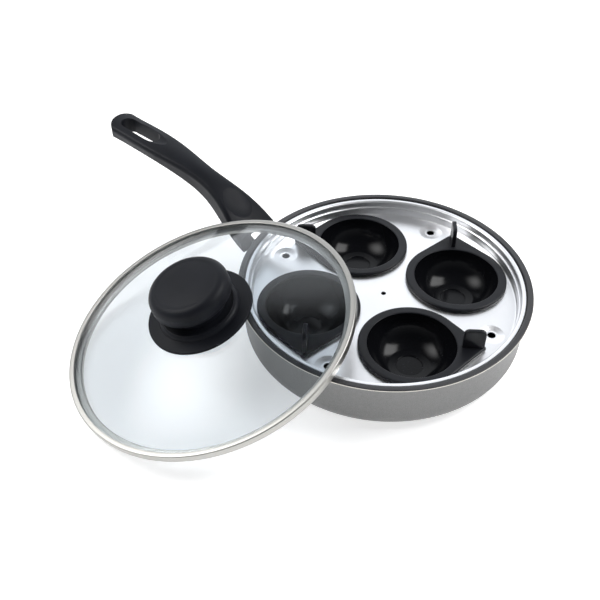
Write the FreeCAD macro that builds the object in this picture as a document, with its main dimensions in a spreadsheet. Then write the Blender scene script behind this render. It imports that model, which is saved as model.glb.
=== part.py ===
import FreeCAD, Part
import Sketcher
import math
import os
import re

# Egg poacher pan: a low pan with a long handle, a lift-out tray with four egg cups,
# and a glass lid that leans on the pan's rim with its lower edge on the table.
# Millimetres and degrees. The origin is the middle of the pan's base, +Z is up
# and the handle points along -X.

SIZES = (
    # pan shell
    ("rim_radius", 103.0),
    ("pan_height", 42.0),
    ("lip_width", 4.3),
    ("lip_thickness", 1.8),
    ("lip_round", 0.8),
    ("lip_overhang", 0.9),
    ("corner_radius", 12.4),
    ("base_thickness", 3.6),
    ("wall_thickness", 3.5),
    ("wall_flare", 2.7),
    ("ledge_drop", 2.2),
    ("ledge_width", 2.1),
    # fits shared by the pieces
    ("rest_gap", 0.1),
    ("part_gap", 0.15),
    ("lean_gap", 0.3),
    ("cut_overrun", 1.0),
    # poaching tray
    ("tray_sheet", 1.0),
    ("tray_edge_gap", 0.9),
    ("tray_flange_width", 3.0),
    ("tray_depth", 11.4),
    ("tray_bend", 0.4),
    ("tray_step_drop", 5.2),
    ("tray_step_width", 1.2),
    ("tray_fillet", 1.4),
    ("vent_inset", 12.1),
    ("vent_angle", 7.2),
    ("vent_radius", 2.9),
    ("dimple_radius", 8.6),
    ("dimple_floor_radius", 4.4),
    ("dimple_depth", 0.9),
    ("centre_hole_radius", 1.8),
    ("cup_hole_gap", 0.8),
    # egg cups
    ("cup_wall_gap", 0.6),
    ("cup_spacing", 5.95),
    ("cup_floor_gap", 6.6),
    ("cup_angle", 53.3),
    ("cup_flange_width", 6.3),
    ("cup_flange_height", 3.2),
    ("cup_edge_round", 1.3),
    ("bowl_floor_share", 0.468),
    ("bowl_wall", 1.6),
    ("bowl_dish_share", 0.643),
    ("bowl_dish_depth", 0.6),
    ("tab_angle", 70.5),
    ("tab_length", 13.3),
    ("tab_tip_round", 1.6),
    ("fin_inset", 3.2),
    ("fin_tip_gap", 1.9),
    ("fin_height", 15.0),
    ("fin_thickness", 3.0),
    ("fin_corner_round", 3.6),
    # lid ring, seal and glass
    ("lid_inset", 0.8),
    ("ring_sheet", 0.6),
    ("ring_round", 0.9),
    ("ring_lip_width", 3.6),
    ("skirt_depth", 2.5),
    ("skirt_gap", 0.4),
    ("seal_thickness", 0.4),
    ("glass_thickness", 3.6),
    ("dome_rise", 18.7),
    ("lid_hole_radius", 3.4),
    ("lid_setback", 22.7),
    ("lid_crossing", 4.6),
    # knob and its fixing
    ("knob_base_radius", 36.5),
    ("knob_base_skin", 0.701),
    ("knob_base_round", 0.7),
    ("knob_base_web", 1.6),
    ("collar_radius", 25.6),
    ("collar_width", 1.2),
    ("collar_rise", 3.4),
    ("collar_run", 2.4),
    ("collar_curve", 3.6),
    ("stem_radius", 19.0),
    ("stem_height", 10.8),
    ("knob_radius", 27.5),
    ("knob_side_height", 4.6),
    ("knob_edge_round", 1.6),
    ("knob_shoulder_width", 7.0),
    ("knob_shoulder_height", 6.2),
    ("knob_crown_height", 1.2),
    ("insert_radius", 4.4),
    ("insert_length", 12.0),
    ("lid_screw_radius", 2.4),
    ("lid_screw_reach", 10.0),
    ("lid_screw_head_radius", 4.8),
    ("lid_screw_head_height", 2.8),
    ("lid_screw_round", 1.2),
    ("washer_radius", 8.5),
    ("washer_thickness", 1.0),
    ("gasket_radius", 8.0),
    ("gasket_thickness", 1.0),
    ("driver_slot_width", 1.2),
    ("driver_slot_depth", 1.2),
    # handle bracket, rivets and screw
    ("bracket_foot", 1.1),
    ("bracket_drop", 9.2),
    ("bracket_plate", 2.4),
    ("bracket_angle", 24.0),
    ("tongue_width", 15.0),
    ("tongue_thickness", 5.0),
    ("tongue_length", 27.0),
    ("tongue_gap", 0.25),
    ("tongue_foot", 9.0),
    ("rivet_radius", 2.4),
    ("rivet_head_radius", 4.4),
    ("rivet_head_height", 1.6),
    ("rivet_angle", 7.6),
    ("handle_screw_radius", 2.2),
    ("handle_screw_setback", 16.0),
    ("handle_screw_head_radius", 4.0),
    ("handle_screw_head_height", 2.6),
    ("handle_screw_round", 1.0),
    ("handle_screw_grip", 2.2),
    # handle grip, from the pan end to the hanging end: distance from the root and rise of
    # the top line, slope of the line, width and depth of the section
    ("root_gap", 3.6),
    ("root_drop", 15.0),
    ("root_angle", 37.0),
    ("root_width", 38.5),
    ("root_depth", 14.4),
    ("root_trim", 10.4),
    ("thumb_distance", 22.0),
    ("thumb_rise", 16.4),
    ("thumb_angle", 35.0),
    ("thumb_width", 35.0),
    ("thumb_depth", 16.2),
    ("neck_distance", 41.3),
    ("neck_rise", 29.6),
    ("neck_angle", 26.0),
    ("neck_width", 24.2),
    ("neck_depth", 18.6),
    ("palm_distance", 58.7),
    ("palm_rise", 36.2),
    ("palm_angle", 16.3),
    ("palm_width", 19.8),
    ("palm_depth", 17.8),
    ("heel_distance", 87.9),
    ("heel_rise", 43.6),
    ("heel_angle", 10.9),
    ("heel_width", 24.5),
    ("heel_depth", 14.6),
    ("tail_distance", 121.1),
    ("tail_rise", 48.3),
    ("tail_angle", 6.9),
    ("tail_width", 28.5),
    ("tail_depth", 12.6),
    ("end_distance", 157.4),
    ("end_rise", 51.9),
    ("end_angle", 5.1),
    ("end_width", 29.0),
    ("end_depth", 13.0),
    ("grip_crown", 2.4),
    ("grip_belly", 1.4),
    ("grip_side_draft", 2.6),
    ("grip_edge_round", 3.0),
    ("grip_edge_curve", 3.3),
    ("end_corner_radius", 13.0),
    ("slot_distance", 111.9),
    ("slot_length", 38.0),
    ("slot_width", 12.5),
    ("slot_scoop_length", 49.0),
    ("slot_scoop_width", 17.0),
    ("slot_scoop_depth", 2.4),
    ("slot_scoop_ahead", 6.0),
    ("thumb_scoop_length", 30.0),
    ("thumb_scoop_width", 24.0),
    ("thumb_scoop_depth", 1.8),
    ("thumb_scoop_ahead", 9.0),
)
ALIASES = {alias for alias, number in SIZES}
CUP_NAMES = ("right", "back", "left", "front")
FULL_TURN = 360.0
HALF_TURN = 180.0
HANDLE_AZIMUTH = 180.0
GRIP_STATIONS = ("root", "thumb", "neck", "palm", "heel", "tail", "end")

doc = FreeCAD.newDocument("egg_poacher_pan")
sheet = doc.addObject("Spreadsheet::Sheet", "Sizes")
for row, (alias, number) in enumerate(SIZES, 1):
    sheet.set(f"A{row}", alias)
    sheet.set(f"B{row}", str(number))
    sheet.setAlias(f"B{row}", alias)
doc.recompute()

# Sizes worked out from the driving dimensions, as formulas in their aliases
LIP_INNER = "(rim_radius - lip_width)"
LEDGE_INNER = "(rim_radius - lip_width - ledge_width)"
LEDGE_HEIGHT = "(pan_height - ledge_drop)"
WALL_FOOT = "(rim_radius - lip_overhang - wall_flare)"
BASE_RADIUS = f"({WALL_FOOT} - corner_radius)"
LIP_UNDER = "(pan_height - lip_thickness)"
WALL_RISE = f"({LIP_UNDER} - corner_radius)"
WALL_CURVE = f"(({WALL_RISE}^2 + wall_flare^2) / (2 * wall_flare))"
INNER_CORNER = "(corner_radius - wall_thickness)"
BRACKET_LOW = "(corner_radius + bracket_foot)"
BRACKET_HIGH = f"({LIP_UNDER} - bracket_drop)"
RIVET_HEIGHT = f"(({BRACKET_LOW} + {BRACKET_HIGH}) / 2)"
ROOT_REACH = "(rim_radius + root_gap)"
ROOT_HEIGHT = "(pan_height - root_drop)"
FLANGE_TOP = f"({LEDGE_HEIGHT} + rest_gap + tray_sheet)"
TRAY_OUTER = f"({LIP_INNER} - tray_edge_gap)"
TRAY_WALL = f"({TRAY_OUTER} - tray_flange_width)"
TRAY_LOWER = f"({TRAY_WALL} - tray_step_width)"
PLATE_TOP = f"({FLANGE_TOP} - tray_depth)"
VENT_RING = f"({TRAY_LOWER} - vent_inset)"
CUP_SEAT = f"({PLATE_TOP} + rest_gap)"
CUP_ROOM = f"({TRAY_LOWER} - tray_fillet - cup_wall_gap)"
CUP_RING = f"(({CUP_ROOM} + cup_spacing / 2) / (1 + sin({HALF_TURN / len(CUP_NAMES)})))"
CUP_FLANGE = f"({CUP_ROOM} - {CUP_RING})"
BOWL_RADIUS = f"({CUP_FLANGE} - cup_flange_width)"
BOWL_FLOOR = f"({BOWL_RADIUS} * bowl_floor_share)"
BOWL_DISH = f"({BOWL_FLOOR} * bowl_dish_share)"
BOWL_DEPTH = f"({CUP_SEAT} + cup_flange_height - bowl_wall - cup_floor_gap - base_thickness)"
BOWL_RUN = f"({BOWL_RADIUS} - {BOWL_FLOOR})"
BOWL_CURVE = f"(({BOWL_RUN}^2 + {BOWL_DEPTH}^2) / (2 * {BOWL_RUN}))"
BOWL_CENTRE = f"({BOWL_RADIUS} - {BOWL_CURVE})"
BOWL_SKIN = f"({BOWL_CURVE} + bowl_wall)"
BOWL_OUTER = f"({BOWL_CENTRE} + sqrt({BOWL_SKIN}^2 - cup_flange_height^2))"
CUP_FOOT = f"({BOWL_CENTRE} + sqrt({BOWL_SKIN}^2 - ({BOWL_DEPTH} + bowl_wall)^2))"
TAB_REACH = f"({CUP_FLANGE} + tab_length)"
FIN_START = f"({CUP_FLANGE} - fin_inset)"
FIN_END = f"({TAB_REACH} - fin_tip_gap)"
LID_RADIUS = "(rim_radius - lid_inset)"
LID_REACH = f"({LID_RADIUS} + lid_setback)"
SKIRT_RADIUS = f"({TRAY_WALL} - skirt_gap)"
RING_CORE = "(2 * ring_sheet + 2 * seal_thickness + glass_thickness)"
RING_TOP = f"(skirt_depth + {RING_CORE})"
RING_LIP = f"({LID_RADIUS} - ring_lip_width)"
GLASS_EDGE = f"({LID_RADIUS} - ring_sheet - seal_thickness)"
GLASS_LOW = "(skirt_depth + ring_sheet + seal_thickness)"
GLASS_RIM = f"({GLASS_LOW} + glass_thickness)"
DOME_RADIUS = f"({RING_LIP} - seal_thickness)"
DOME_CURVE = f"(({DOME_RADIUS}^2 + dome_rise^2) / (2 * dome_rise))"
CROWN = f"({GLASS_RIM} + dome_rise)"
DOME_CENTRE = f"({CROWN} - {DOME_CURVE})"
LEAN_RANGE = (math.radians(1), math.radians(60))
LEAN_STEPS = 60


def dome_height(radius, lift):
    """Height of a sphere that lies a lift above the glass, at a radius from the lid's axis."""
    return f"({DOME_CENTRE} + sqrt(({DOME_CURVE} + {lift})^2 - {radius}^2))"


COLLAR_FOOT = "(collar_radius + collar_run)"
BASE_LOW = dome_height("knob_base_radius", "part_gap")
BASE_TOP = f"({dome_height(COLLAR_FOOT, 'part_gap')} + knob_base_skin)"
KNOB_SEAT = f"({CROWN} + part_gap + knob_base_web)"
KNOB_LOW = f"({KNOB_SEAT} + part_gap)"
GASKET_TOP = f"({dome_height('gasket_radius', '0')} - glass_thickness - part_gap)"
WASHER_TOP = f"({GASKET_TOP} - gasket_thickness)"
WASHER_LOW = f"({WASHER_TOP} - washer_thickness)"


def bound(formula):
    """Puts the sheet's name before each alias of a formula."""
    def prefix(word):
        name = word.group(0)
        return f"Sizes.{name}" if name in ALIASES else name
    return re.sub(r"[a-z_]+", prefix, formula)


def size(formula):
    """Value of a formula in the sheet's aliases."""
    return float(sheet.evalExpression(formula))


# Building blocks

def new_body(label):
    body = doc.addObject("PartDesign::Body", label)
    body.Label = label
    return body


def origin_plane(body, role):
    return next(item for item in body.Origin.OriginFeatures if item.Role == role)


def new_sketch(body, name, role):
    sketch = body.newObject("Sketcher::SketchObject", name)
    sketch.AttachmentSupport = [(origin_plane(body, role), "")]
    sketch.MapMode = "FlatFace"
    return sketch


def pin(sketch, geometry, end, across, up):
    """Holds a point of a sketch at two formulas."""
    for kind, axis, formula in (("DistanceX", -2, across), ("DistanceY", -1, up)):
        if formula == "0":
            sketch.addConstraint(Sketcher.Constraint("PointOnObject", geometry, end, axis))
        else:
            index = sketch.addConstraint(
                Sketcher.Constraint(kind, -1, 1, geometry, end, size(formula)))
            sketch.setExpression(f"Constraints[{index}]", bound(formula))


def arc_between(start, finish, radius, turns_left):
    """Short arc from start to finish that turns left or right with a radius."""
    chord = finish - start
    middle = start + chord * 0.5
    side = FreeCAD.Vector(-chord.y, chord.x, 0).normalize()
    apart = math.sqrt(max(radius ** 2 - (chord.Length / 2) ** 2, 0))
    centre = middle + side * (apart if turns_left else -apart)
    first, last = (start, finish) if turns_left else (finish, start)
    angles = [math.atan2(point.y - centre.y, point.x - centre.x) for point in (first, last)]
    whole = Part.Circle(centre, FreeCAD.Vector(0, 0, 1), radius)
    return Part.ArcOfCircle(whole, angles[0], angles[1])


def draw(sketch, corners):
    """Draws a closed outline. A corner is (across, up), reached by a straight line, or
    (across, up, radius, "left" or "right"), reached by an arc that turns that way."""
    points = [FreeCAD.Vector(size(corner[0]), size(corner[1]), 0) for corner in corners]
    ends = []
    for index, corner in enumerate(corners):
        start = points[index - 1]
        finish = points[index]
        if len(corner) == 2:
            geometry = sketch.addGeometry(Part.LineSegment(start, finish))
            ends.append((geometry, 1, 2))
            continue
        turns_left = corner[3] == "left"
        geometry = sketch.addGeometry(arc_between(start, finish, size(corner[2]), turns_left))
        ends.append((geometry, 1, 2) if turns_left else (geometry, 2, 1))
        held = sketch.addConstraint(Sketcher.Constraint("Radius", geometry, size(corner[2])))
        sketch.setExpression(f"Constraints[{held}]", bound(corner[2]))
    for index, corner in enumerate(corners):
        geometry, begin, end = ends[index]
        following, next_begin, next_end = ends[(index + 1) % len(corners)]
        sketch.addConstraint(
            Sketcher.Constraint("Coincident", geometry, end, following, next_begin))
        pin(sketch, geometry, end, corner[0], corner[1])


def circle(sketch, across, up, radius):
    """Adds a circle whose centre and radius follow three formulas."""
    centre = FreeCAD.Vector(size(across), size(up), 0)
    geometry = sketch.addGeometry(Part.Circle(centre, FreeCAD.Vector(0, 0, 1), size(radius)))
    if across == "0" and up == "0":
        sketch.addConstraint(Sketcher.Constraint("Coincident", geometry, 3, -1, 1))
    else:
        pin(sketch, geometry, 3, across, up)
    index = sketch.addConstraint(Sketcher.Constraint("Radius", geometry, size(radius)))
    sketch.setExpression(f"Constraints[{index}]", bound(radius))


def revolve(body, name, corners, sweep=None):
    """Turns an outline in the XZ plane about the body's Z axis."""
    sketch = new_sketch(body, name + "_outline", "XZ_Plane")
    draw(sketch, corners)
    feature = body.newObject("PartDesign::Revolution", name)
    feature.Profile = sketch
    feature.ReferenceAxis = (sketch, ["V_Axis"])
    feature.Angle = FULL_TURN
    if sweep:
        feature.Midplane = True
        feature.setExpression("Angle", bound(sweep))
    return feature


def bar(body, name, radius, length, place, turn):
    """Cuts a round hole, placed by formulas, whose axis is Z before the turn."""
    hole = body.newObject("PartDesign::SubtractiveCylinder", name)
    hole.AttachmentSupport = [(origin_plane(body, "XY_Plane"), "")]
    hole.MapMode = "FlatFace"
    hole.AttachmentOffset = FreeCAD.Placement(FreeCAD.Vector(), turn)
    hole.setExpression("Radius", bound(radius))
    hole.setExpression("Height", bound(length))
    settle(hole, place)
    return hole


def settle(feature, place):
    """Binds the place of a primitive or sketch to three formulas."""
    for letter, formula in zip("xyz", place):
        feature.setExpression(f"AttachmentOffset.Base.{letter}", bound(formula))


def pad(body, name, role, corners, length, sides):
    """Thickens an outline on an origin plane, to one side or evenly to both."""
    sketch = new_sketch(body, name + "_outline", role)
    draw(sketch, corners)
    feature = body.newObject("PartDesign::Pad", name)
    feature.Profile = sketch
    feature.SideType = sides
    feature.setExpression("Length", bound(length))
    return feature


def pocket_up(body, name, sketch):
    """Cuts a sketch on the XY plane upward through everything above it."""
    feature = body.newObject("PartDesign::Pocket", name)
    feature.Profile = sketch
    feature.Type = "ThroughAll"
    feature.Reversed = True
    return feature


def cut(body, name, corners):
    """Cuts an outline on the XY plane up through the piece."""
    sketch = new_sketch(body, name + "_outline", "XY_Plane")
    draw(sketch, corners)
    return pocket_up(body, name, sketch)


def round_cut(body, name, across, up, radius):
    """Cuts a round hole up through the piece."""
    sketch = new_sketch(body, name + "_outline", "XY_Plane")
    circle(sketch, across, up, radius)
    return pocket_up(body, name, sketch)


def turn_about_vent(body, name, kind, corners):
    """Turns an outline about the upright axis of the first vent, to add or to cut."""
    sketch = new_sketch(body, name + "_outline", "XZ_Plane")
    draw(sketch, corners)
    low = FreeCAD.Vector(size(VENT_RING), 0, 0)
    high = FreeCAD.Vector(size(VENT_RING), size(PLATE_TOP), 0)
    axis = sketch.addGeometry(Part.LineSegment(low, high), True)
    pin(sketch, axis, 1, VENT_RING, "0")
    pin(sketch, axis, 2, VENT_RING, PLATE_TOP)
    feature = body.newObject(kind, name)
    feature.Profile = sketch
    feature.ReferenceAxis = (sketch, ["Axis0"])
    feature.Angle = FULL_TURN
    return feature


def polar(body, name, originals):
    """Repeats features evenly about the body's Z axis, once for each cup."""
    pattern = body.newObject("PartDesign::PolarPattern", name)
    pattern.Originals = originals
    pattern.Axis = (origin_plane(body, "Z_Axis"), [""])
    pattern.Angle = FULL_TURN
    pattern.Occurrences = len(CUP_NAMES)
    body.Tip = pattern
    return pattern


def driver_slot(body, head_radius, low):
    """Cuts a screwdriver slot across a screw's head, whose outer face is at a height."""
    slot = body.newObject("PartDesign::SubtractiveBox", f"{body.Label}_slot")
    slot.AttachmentSupport = [(origin_plane(body, "XY_Plane"), "")]
    slot.MapMode = "FlatFace"
    slot.setExpression("Length", bound(f"2 * ({head_radius} + cut_overrun)"))
    slot.setExpression("Width", bound("driver_slot_width"))
    slot.setExpression("Height", bound("driver_slot_depth + cut_overrun"))
    settle(slot, (f"-({head_radius} + cut_overrun)", "-driver_slot_width / 2", f"{low} - cut_overrun"))
    return slot


def about(axis, degrees):
    return FreeCAD.Rotation(axis, degrees)


X_AXIS = FreeCAD.Vector(1, 0, 0)
Y_AXIS = FreeCAD.Vector(0, 1, 0)
Z_AXIS = FreeCAD.Vector(0, 0, 1)
QUARTER_TURN = 90.0
TOWARDS_HANDLE = FreeCAD.Placement(FreeCAD.Vector(), about(Z_AXIS, HANDLE_AZIMUTH))


def rivet_turns(azimuth):
    """Turns that lay the Z axis along each rivet, outward through the wall about an azimuth."""
    turns = []
    for side in (1, -1):
        turn = about(Z_AXIS, azimuth + side * size("rivet_angle"))
        turns.append(turn * about(Y_AXIS, QUARTER_TURN))
    return turns


def root_turn():
    """Turn that tips the Z axis square to the handle's root, and X along it."""
    return about(-Y_AXIS, size("root_angle"))


# Pan

def pan_shell():
    body = new_body("pan_shell")
    revolve(body, "pan_wall", (
        ("0", "0"),
        (BASE_RADIUS, "0"),
        (WALL_FOOT, "corner_radius", "corner_radius", "left"),
        (f"{WALL_FOOT} + wall_flare", LIP_UNDER, WALL_CURVE, "right"),
        ("rim_radius - lip_round", LIP_UNDER),
        ("rim_radius", f"{LIP_UNDER} + lip_round", "lip_round", "left"),
        ("rim_radius", "pan_height - lip_round"),
        ("rim_radius - lip_round", "pan_height", "lip_round", "left"),
        (f"{LIP_INNER} + lip_round", "pan_height"),
        (LIP_INNER, "pan_height - lip_round", "lip_round", "left"),
        (LIP_INNER, LEDGE_HEIGHT),
        (LEDGE_INNER, LEDGE_HEIGHT),
        (f"{WALL_FOOT} - wall_thickness", f"base_thickness + {INNER_CORNER}"),
        (f"{WALL_FOOT} - wall_thickness - {INNER_CORNER}", "base_thickness", INNER_CORNER, "right"),
        ("0", "base_thickness"),
    ))
    for number, turn in enumerate(rivet_turns(HANDLE_AZIMUTH), 1):
        bar(body, f"wall_rivet_hole_{number}", "rivet_radius + part_gap",
            "rim_radius", ("0", "0", RIVET_HEIGHT), turn)
    return body


# Handle bracket, its rivets and the handle's screw

def wall_line(height):
    """Outer radius of the pan's wall at a height above the base corner."""
    return (f"({WALL_FOOT} + {WALL_CURVE}"
            f" - sqrt({WALL_CURVE}^2 - ({height} - corner_radius)^2))")


PLATE_LOW = f"({wall_line(BRACKET_LOW)} + part_gap)"
PLATE_HIGH = f"({wall_line(BRACKET_HIGH)} + part_gap)"
PLATE_OUTER = f"({PLATE_HIGH} + bracket_plate)"
FACE_REACH = f"({ROOT_REACH} + root_depth / 2 * sin(root_angle))"
FACE_HEIGHT = f"({ROOT_HEIGHT} - root_depth / 2 * cos(root_angle))"
SCREW_SEAT = "(tongue_thickness / 2 + tongue_gap + handle_screw_grip)"
RIVET_SEAT = f"(sqrt(({WALL_FOOT} - wall_thickness)^2 - rivet_head_radius^2) - part_gap)"
RIVET_OUTER = f"({PLATE_OUTER} + part_gap)"
RIVET_DOME = "((rivet_head_radius^2 + rivet_head_height^2) / (2 * rivet_head_height))"


def along_root(ahead, above):
    """Reach and height of a point ahead of the middle of the handle's end face, and above it."""
    reach = f"({FACE_REACH} + ({ahead}) * cos(root_angle) - ({above}) * sin(root_angle))"
    height = f"({FACE_HEIGHT} + ({ahead}) * sin(root_angle) + ({above}) * cos(root_angle))"
    return reach, height


def handle_bracket():
    body = new_body("handle_bracket")
    revolve(body, "bracket_plate_turn", (
        (PLATE_LOW, BRACKET_LOW, f"({WALL_CURVE} - part_gap)", "left"),
        (f"{PLATE_LOW} + bracket_plate", BRACKET_LOW),
        (PLATE_OUTER, BRACKET_HIGH),
        (PLATE_HIGH, BRACKET_HIGH),
    ), "bracket_angle")
    half = "tongue_thickness / 2"
    plate_middle = f"({PLATE_LOW} + bracket_plate / 2)"
    pad(body, "tongue", "XZ_Plane", (
        (plate_middle, f"{FACE_HEIGHT} - tongue_foot / 2"),
        along_root("0", f"-{half}"),
        along_root("tongue_length", f"-{half}"),
        along_root("tongue_length", half),
        along_root("0", half),
        (plate_middle, f"{FACE_HEIGHT} + tongue_foot / 2"),
    ), "tongue_width", "Symmetric")
    for number, turn in enumerate(rivet_turns(0), 1):
        bar(body, f"rivet_hole_{number}", "rivet_radius + part_gap",
            f"{RIVET_OUTER} + cut_overrun", ("0", "0", RIVET_HEIGHT), turn)
    reach, height = along_root("handle_screw_setback", f"-({half} + cut_overrun)")
    bar(body, "screw_hole", "handle_screw_radius + part_gap",
        "tongue_thickness + 2 * cut_overrun", (reach, "0", height), root_turn())
    body.Placement = TOWARDS_HANDLE
    return body


def bracket_rivets():
    rivets = []
    for number, turn in enumerate(rivet_turns(HANDLE_AZIMUTH), 1):
        body = new_body(f"rivet_{number}")
        revolve(body, f"rivet_turn_{number}", (
            ("0", f"{RIVET_SEAT} - rivet_head_height"),
            ("rivet_head_radius", RIVET_SEAT, RIVET_DOME, "left"),
            ("rivet_radius", RIVET_SEAT),
            ("rivet_radius", RIVET_OUTER),
            ("rivet_head_radius", RIVET_OUTER),
            ("0", f"{RIVET_OUTER} + rivet_head_height", RIVET_DOME, "left"),
        ))
        body.Placement = FreeCAD.Placement(Z_AXIS * size(RIVET_HEIGHT), turn)
        rivets.append(body)
    group = doc.addObject("Part::Compound", "bracket_rivets")
    group.Links = rivets
    return group


def handle_screw():
    body = new_body("handle_screw")
    revolve(body, "handle_screw_turn", (
        ("0", "-handle_screw_head_height"),
        ("handle_screw_head_radius - handle_screw_round", "-handle_screw_head_height"),
        ("handle_screw_head_radius", "handle_screw_round - handle_screw_head_height",
         "handle_screw_round", "left"),
        ("handle_screw_head_radius", "0"),
        ("handle_screw_radius", "0"),
        ("handle_screw_radius", f"{SCREW_SEAT} + tongue_thickness / 2"),
        ("0", f"{SCREW_SEAT} + tongue_thickness / 2"),
    ))
    driver_slot(body, "handle_screw_head_radius", "-handle_screw_head_height")
    reach, height = along_root("handle_screw_setback", f"-{SCREW_SEAT}")
    foot = FreeCAD.Vector(size(reach), 0, size(height))
    body.Placement = TOWARDS_HANDLE * FreeCAD.Placement(foot, root_turn())
    return body


# Handle grip

def top_line(station):
    """Reach from the pan's axis and height of the grip's top line at a station."""
    if station == "root":
        return ROOT_REACH, ROOT_HEIGHT
    return f"({ROOT_REACH} + {station}_distance)", f"({ROOT_HEIGHT} + {station}_rise)"


def grip_section(body, station):
    """Section of the grip across its top line: a crowned top with rounded edges, drafted
    sides and a belly."""
    sketch = new_sketch(body, f"{station}_section", "YZ_Plane")
    sketch.AttachmentOffset = FreeCAD.Placement(
        FreeCAD.Vector(), about(-X_AXIS, size(f"{station}_angle")))
    reach, height = top_line(station)
    settle(sketch, ("0", height, reach))
    sketch.setExpression("AttachmentOffset.Rotation.Angle", bound(f"{station}_angle"))
    half = f"({station}_width / 2)"
    low_half = f"({half} - grip_side_draft)"
    low = f"({station}_depth - grip_belly)"
    crown_curve = f"(({half}^2 + grip_crown^2) / (2 * grip_crown))"
    belly_curve = f"(({low_half}^2 + grip_belly^2) / (2 * grip_belly))"
    edge = f"({half} - grip_edge_round)"
    edge_drop = f"({crown_curve} - sqrt({crown_curve}^2 - {edge}^2))"
    side = f"({half} - grip_side_draft * grip_edge_round / ({low} - grip_crown))"
    side_drop = "(grip_crown + grip_edge_round)"
    draw(sketch, (
        (low_half, f"-{low}", belly_curve, "left"),
        (side, f"-{side_drop}"),
        (edge, f"-{edge_drop}", "grip_edge_curve", "left"),
        (f"-{edge}", f"-{edge_drop}", crown_curve, "left"),
        (f"-{side}", f"-{side_drop}", "grip_edge_curve", "left"),
        (f"-{low_half}", f"-{low}"),
    ))
    return sketch


def scoop(body, name, station):
    """Shallow oval hollow ahead of a station in the grip's top, cut by an ellipsoid whose
    middle is as far above the top line as the hollow is deep."""
    reach, height = top_line(station)
    slope = f"{station}_angle"
    ahead = f"{name}_ahead"
    depth = f"{name}_depth"
    hollow = body.newObject("PartDesign::SubtractiveEllipsoid", name)
    hollow.AttachmentSupport = [(origin_plane(body, "XY_Plane"), "")]
    hollow.MapMode = "FlatFace"
    hollow.AttachmentOffset = FreeCAD.Placement(FreeCAD.Vector(), about(-Y_AXIS, size(slope)))
    hollow.setExpression("Radius1", bound(f"2 * {depth}"))
    hollow.setExpression("Radius2", bound(f"{name}_length / sqrt(3)"))
    hollow.setExpression("Radius3", bound(f"{name}_width / sqrt(3)"))
    settle(hollow, (
        f"{reach} + {ahead} * cos({slope}) - {depth} * sin({slope})",
        "0",
        f"{height} + {ahead} * sin({slope}) + {depth} * cos({slope})",
    ))
    return hollow


def handle_grip():
    body = new_body("handle_grip")
    sections = [grip_section(body, station) for station in GRIP_STATIONS]
    loft = body.newObject("PartDesign::AdditiveLoft", "grip_loft")
    loft.Profile = sections[0]
    loft.Sections = sections[1:]
    doc.recompute()
    trim_reach = f"({ROOT_REACH} + root_trim)"
    cut(body, "root_face", (
        ("rim_radius", "-root_width"),
        (trim_reach, "-root_width"),
        (trim_reach, "root_width"),
        ("rim_radius", "root_width"),
    ))
    outside = "(end_width + cut_overrun)"
    end_reach = top_line("end")[0]
    waist = f"({end_reach} - end_corner_radius)"
    flat = "(end_width / 2 - end_corner_radius)"
    cut(body, "end_rounding", (
        (end_reach, f"-{flat}", "end_corner_radius", "left"),
        (end_reach, flat),
        (waist, "end_width / 2", "end_corner_radius", "left"),
        (waist, outside),
        (f"{end_reach} + {outside}", outside),
        (f"{end_reach} + {outside}", f"-{outside}"),
        (waist, f"-{outside}"),
        (waist, "-end_width / 2"),
    ))
    half = "(slot_width / 2)"
    slot_start = f"({ROOT_REACH} + slot_distance)"
    slot_end = f"({slot_start} + slot_length)"
    cut(body, "hanging_slot", (
        (f"{slot_start} + {half}", f"-{half}", half, "left"),
        (f"{slot_end} - {half}", f"-{half}"),
        (slot_end, "0", half, "left"),
        (f"{slot_end} - {half}", half, half, "left"),
        (f"{slot_start} + {half}", half),
        (slot_start, "0", half, "left"),
    ))
    scoop(body, "slot_scoop", "tail")
    scoop(body, "thumb_scoop", "thumb")
    half_height = "(tongue_thickness / 2 + tongue_gap)"
    socket = body.newObject("PartDesign::SubtractiveBox", "tongue_socket")
    socket.AttachmentSupport = [(origin_plane(body, "XY_Plane"), "")]
    socket.MapMode = "FlatFace"
    socket.AttachmentOffset = FreeCAD.Placement(FreeCAD.Vector(), root_turn())
    socket.setExpression("Length", bound("tongue_length + tongue_gap + cut_overrun"))
    socket.setExpression("Width", bound("tongue_width + 2 * tongue_gap"))
    socket.setExpression("Height", bound(f"2 * {half_height}"))
    reach, height = along_root("-cut_overrun", f"-{half_height}")
    settle(socket, (reach, "-(tongue_width / 2 + tongue_gap)", height))
    reach, height = along_root("handle_screw_setback", f"-({SCREW_SEAT} + cut_overrun)")
    bar(body, "screw_bore", "handle_screw_radius + part_gap",
        f"{SCREW_SEAT} + cut_overrun + tongue_thickness", (reach, "0", height), root_turn())
    reach, height = along_root("handle_screw_setback", f"-({SCREW_SEAT} + root_depth)")
    bar(body, "screw_recess", "handle_screw_head_radius + part_gap", "root_depth",
        (reach, "0", height), root_turn())
    body.Placement = TOWARDS_HANDLE
    return body


# Poaching tray

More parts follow.
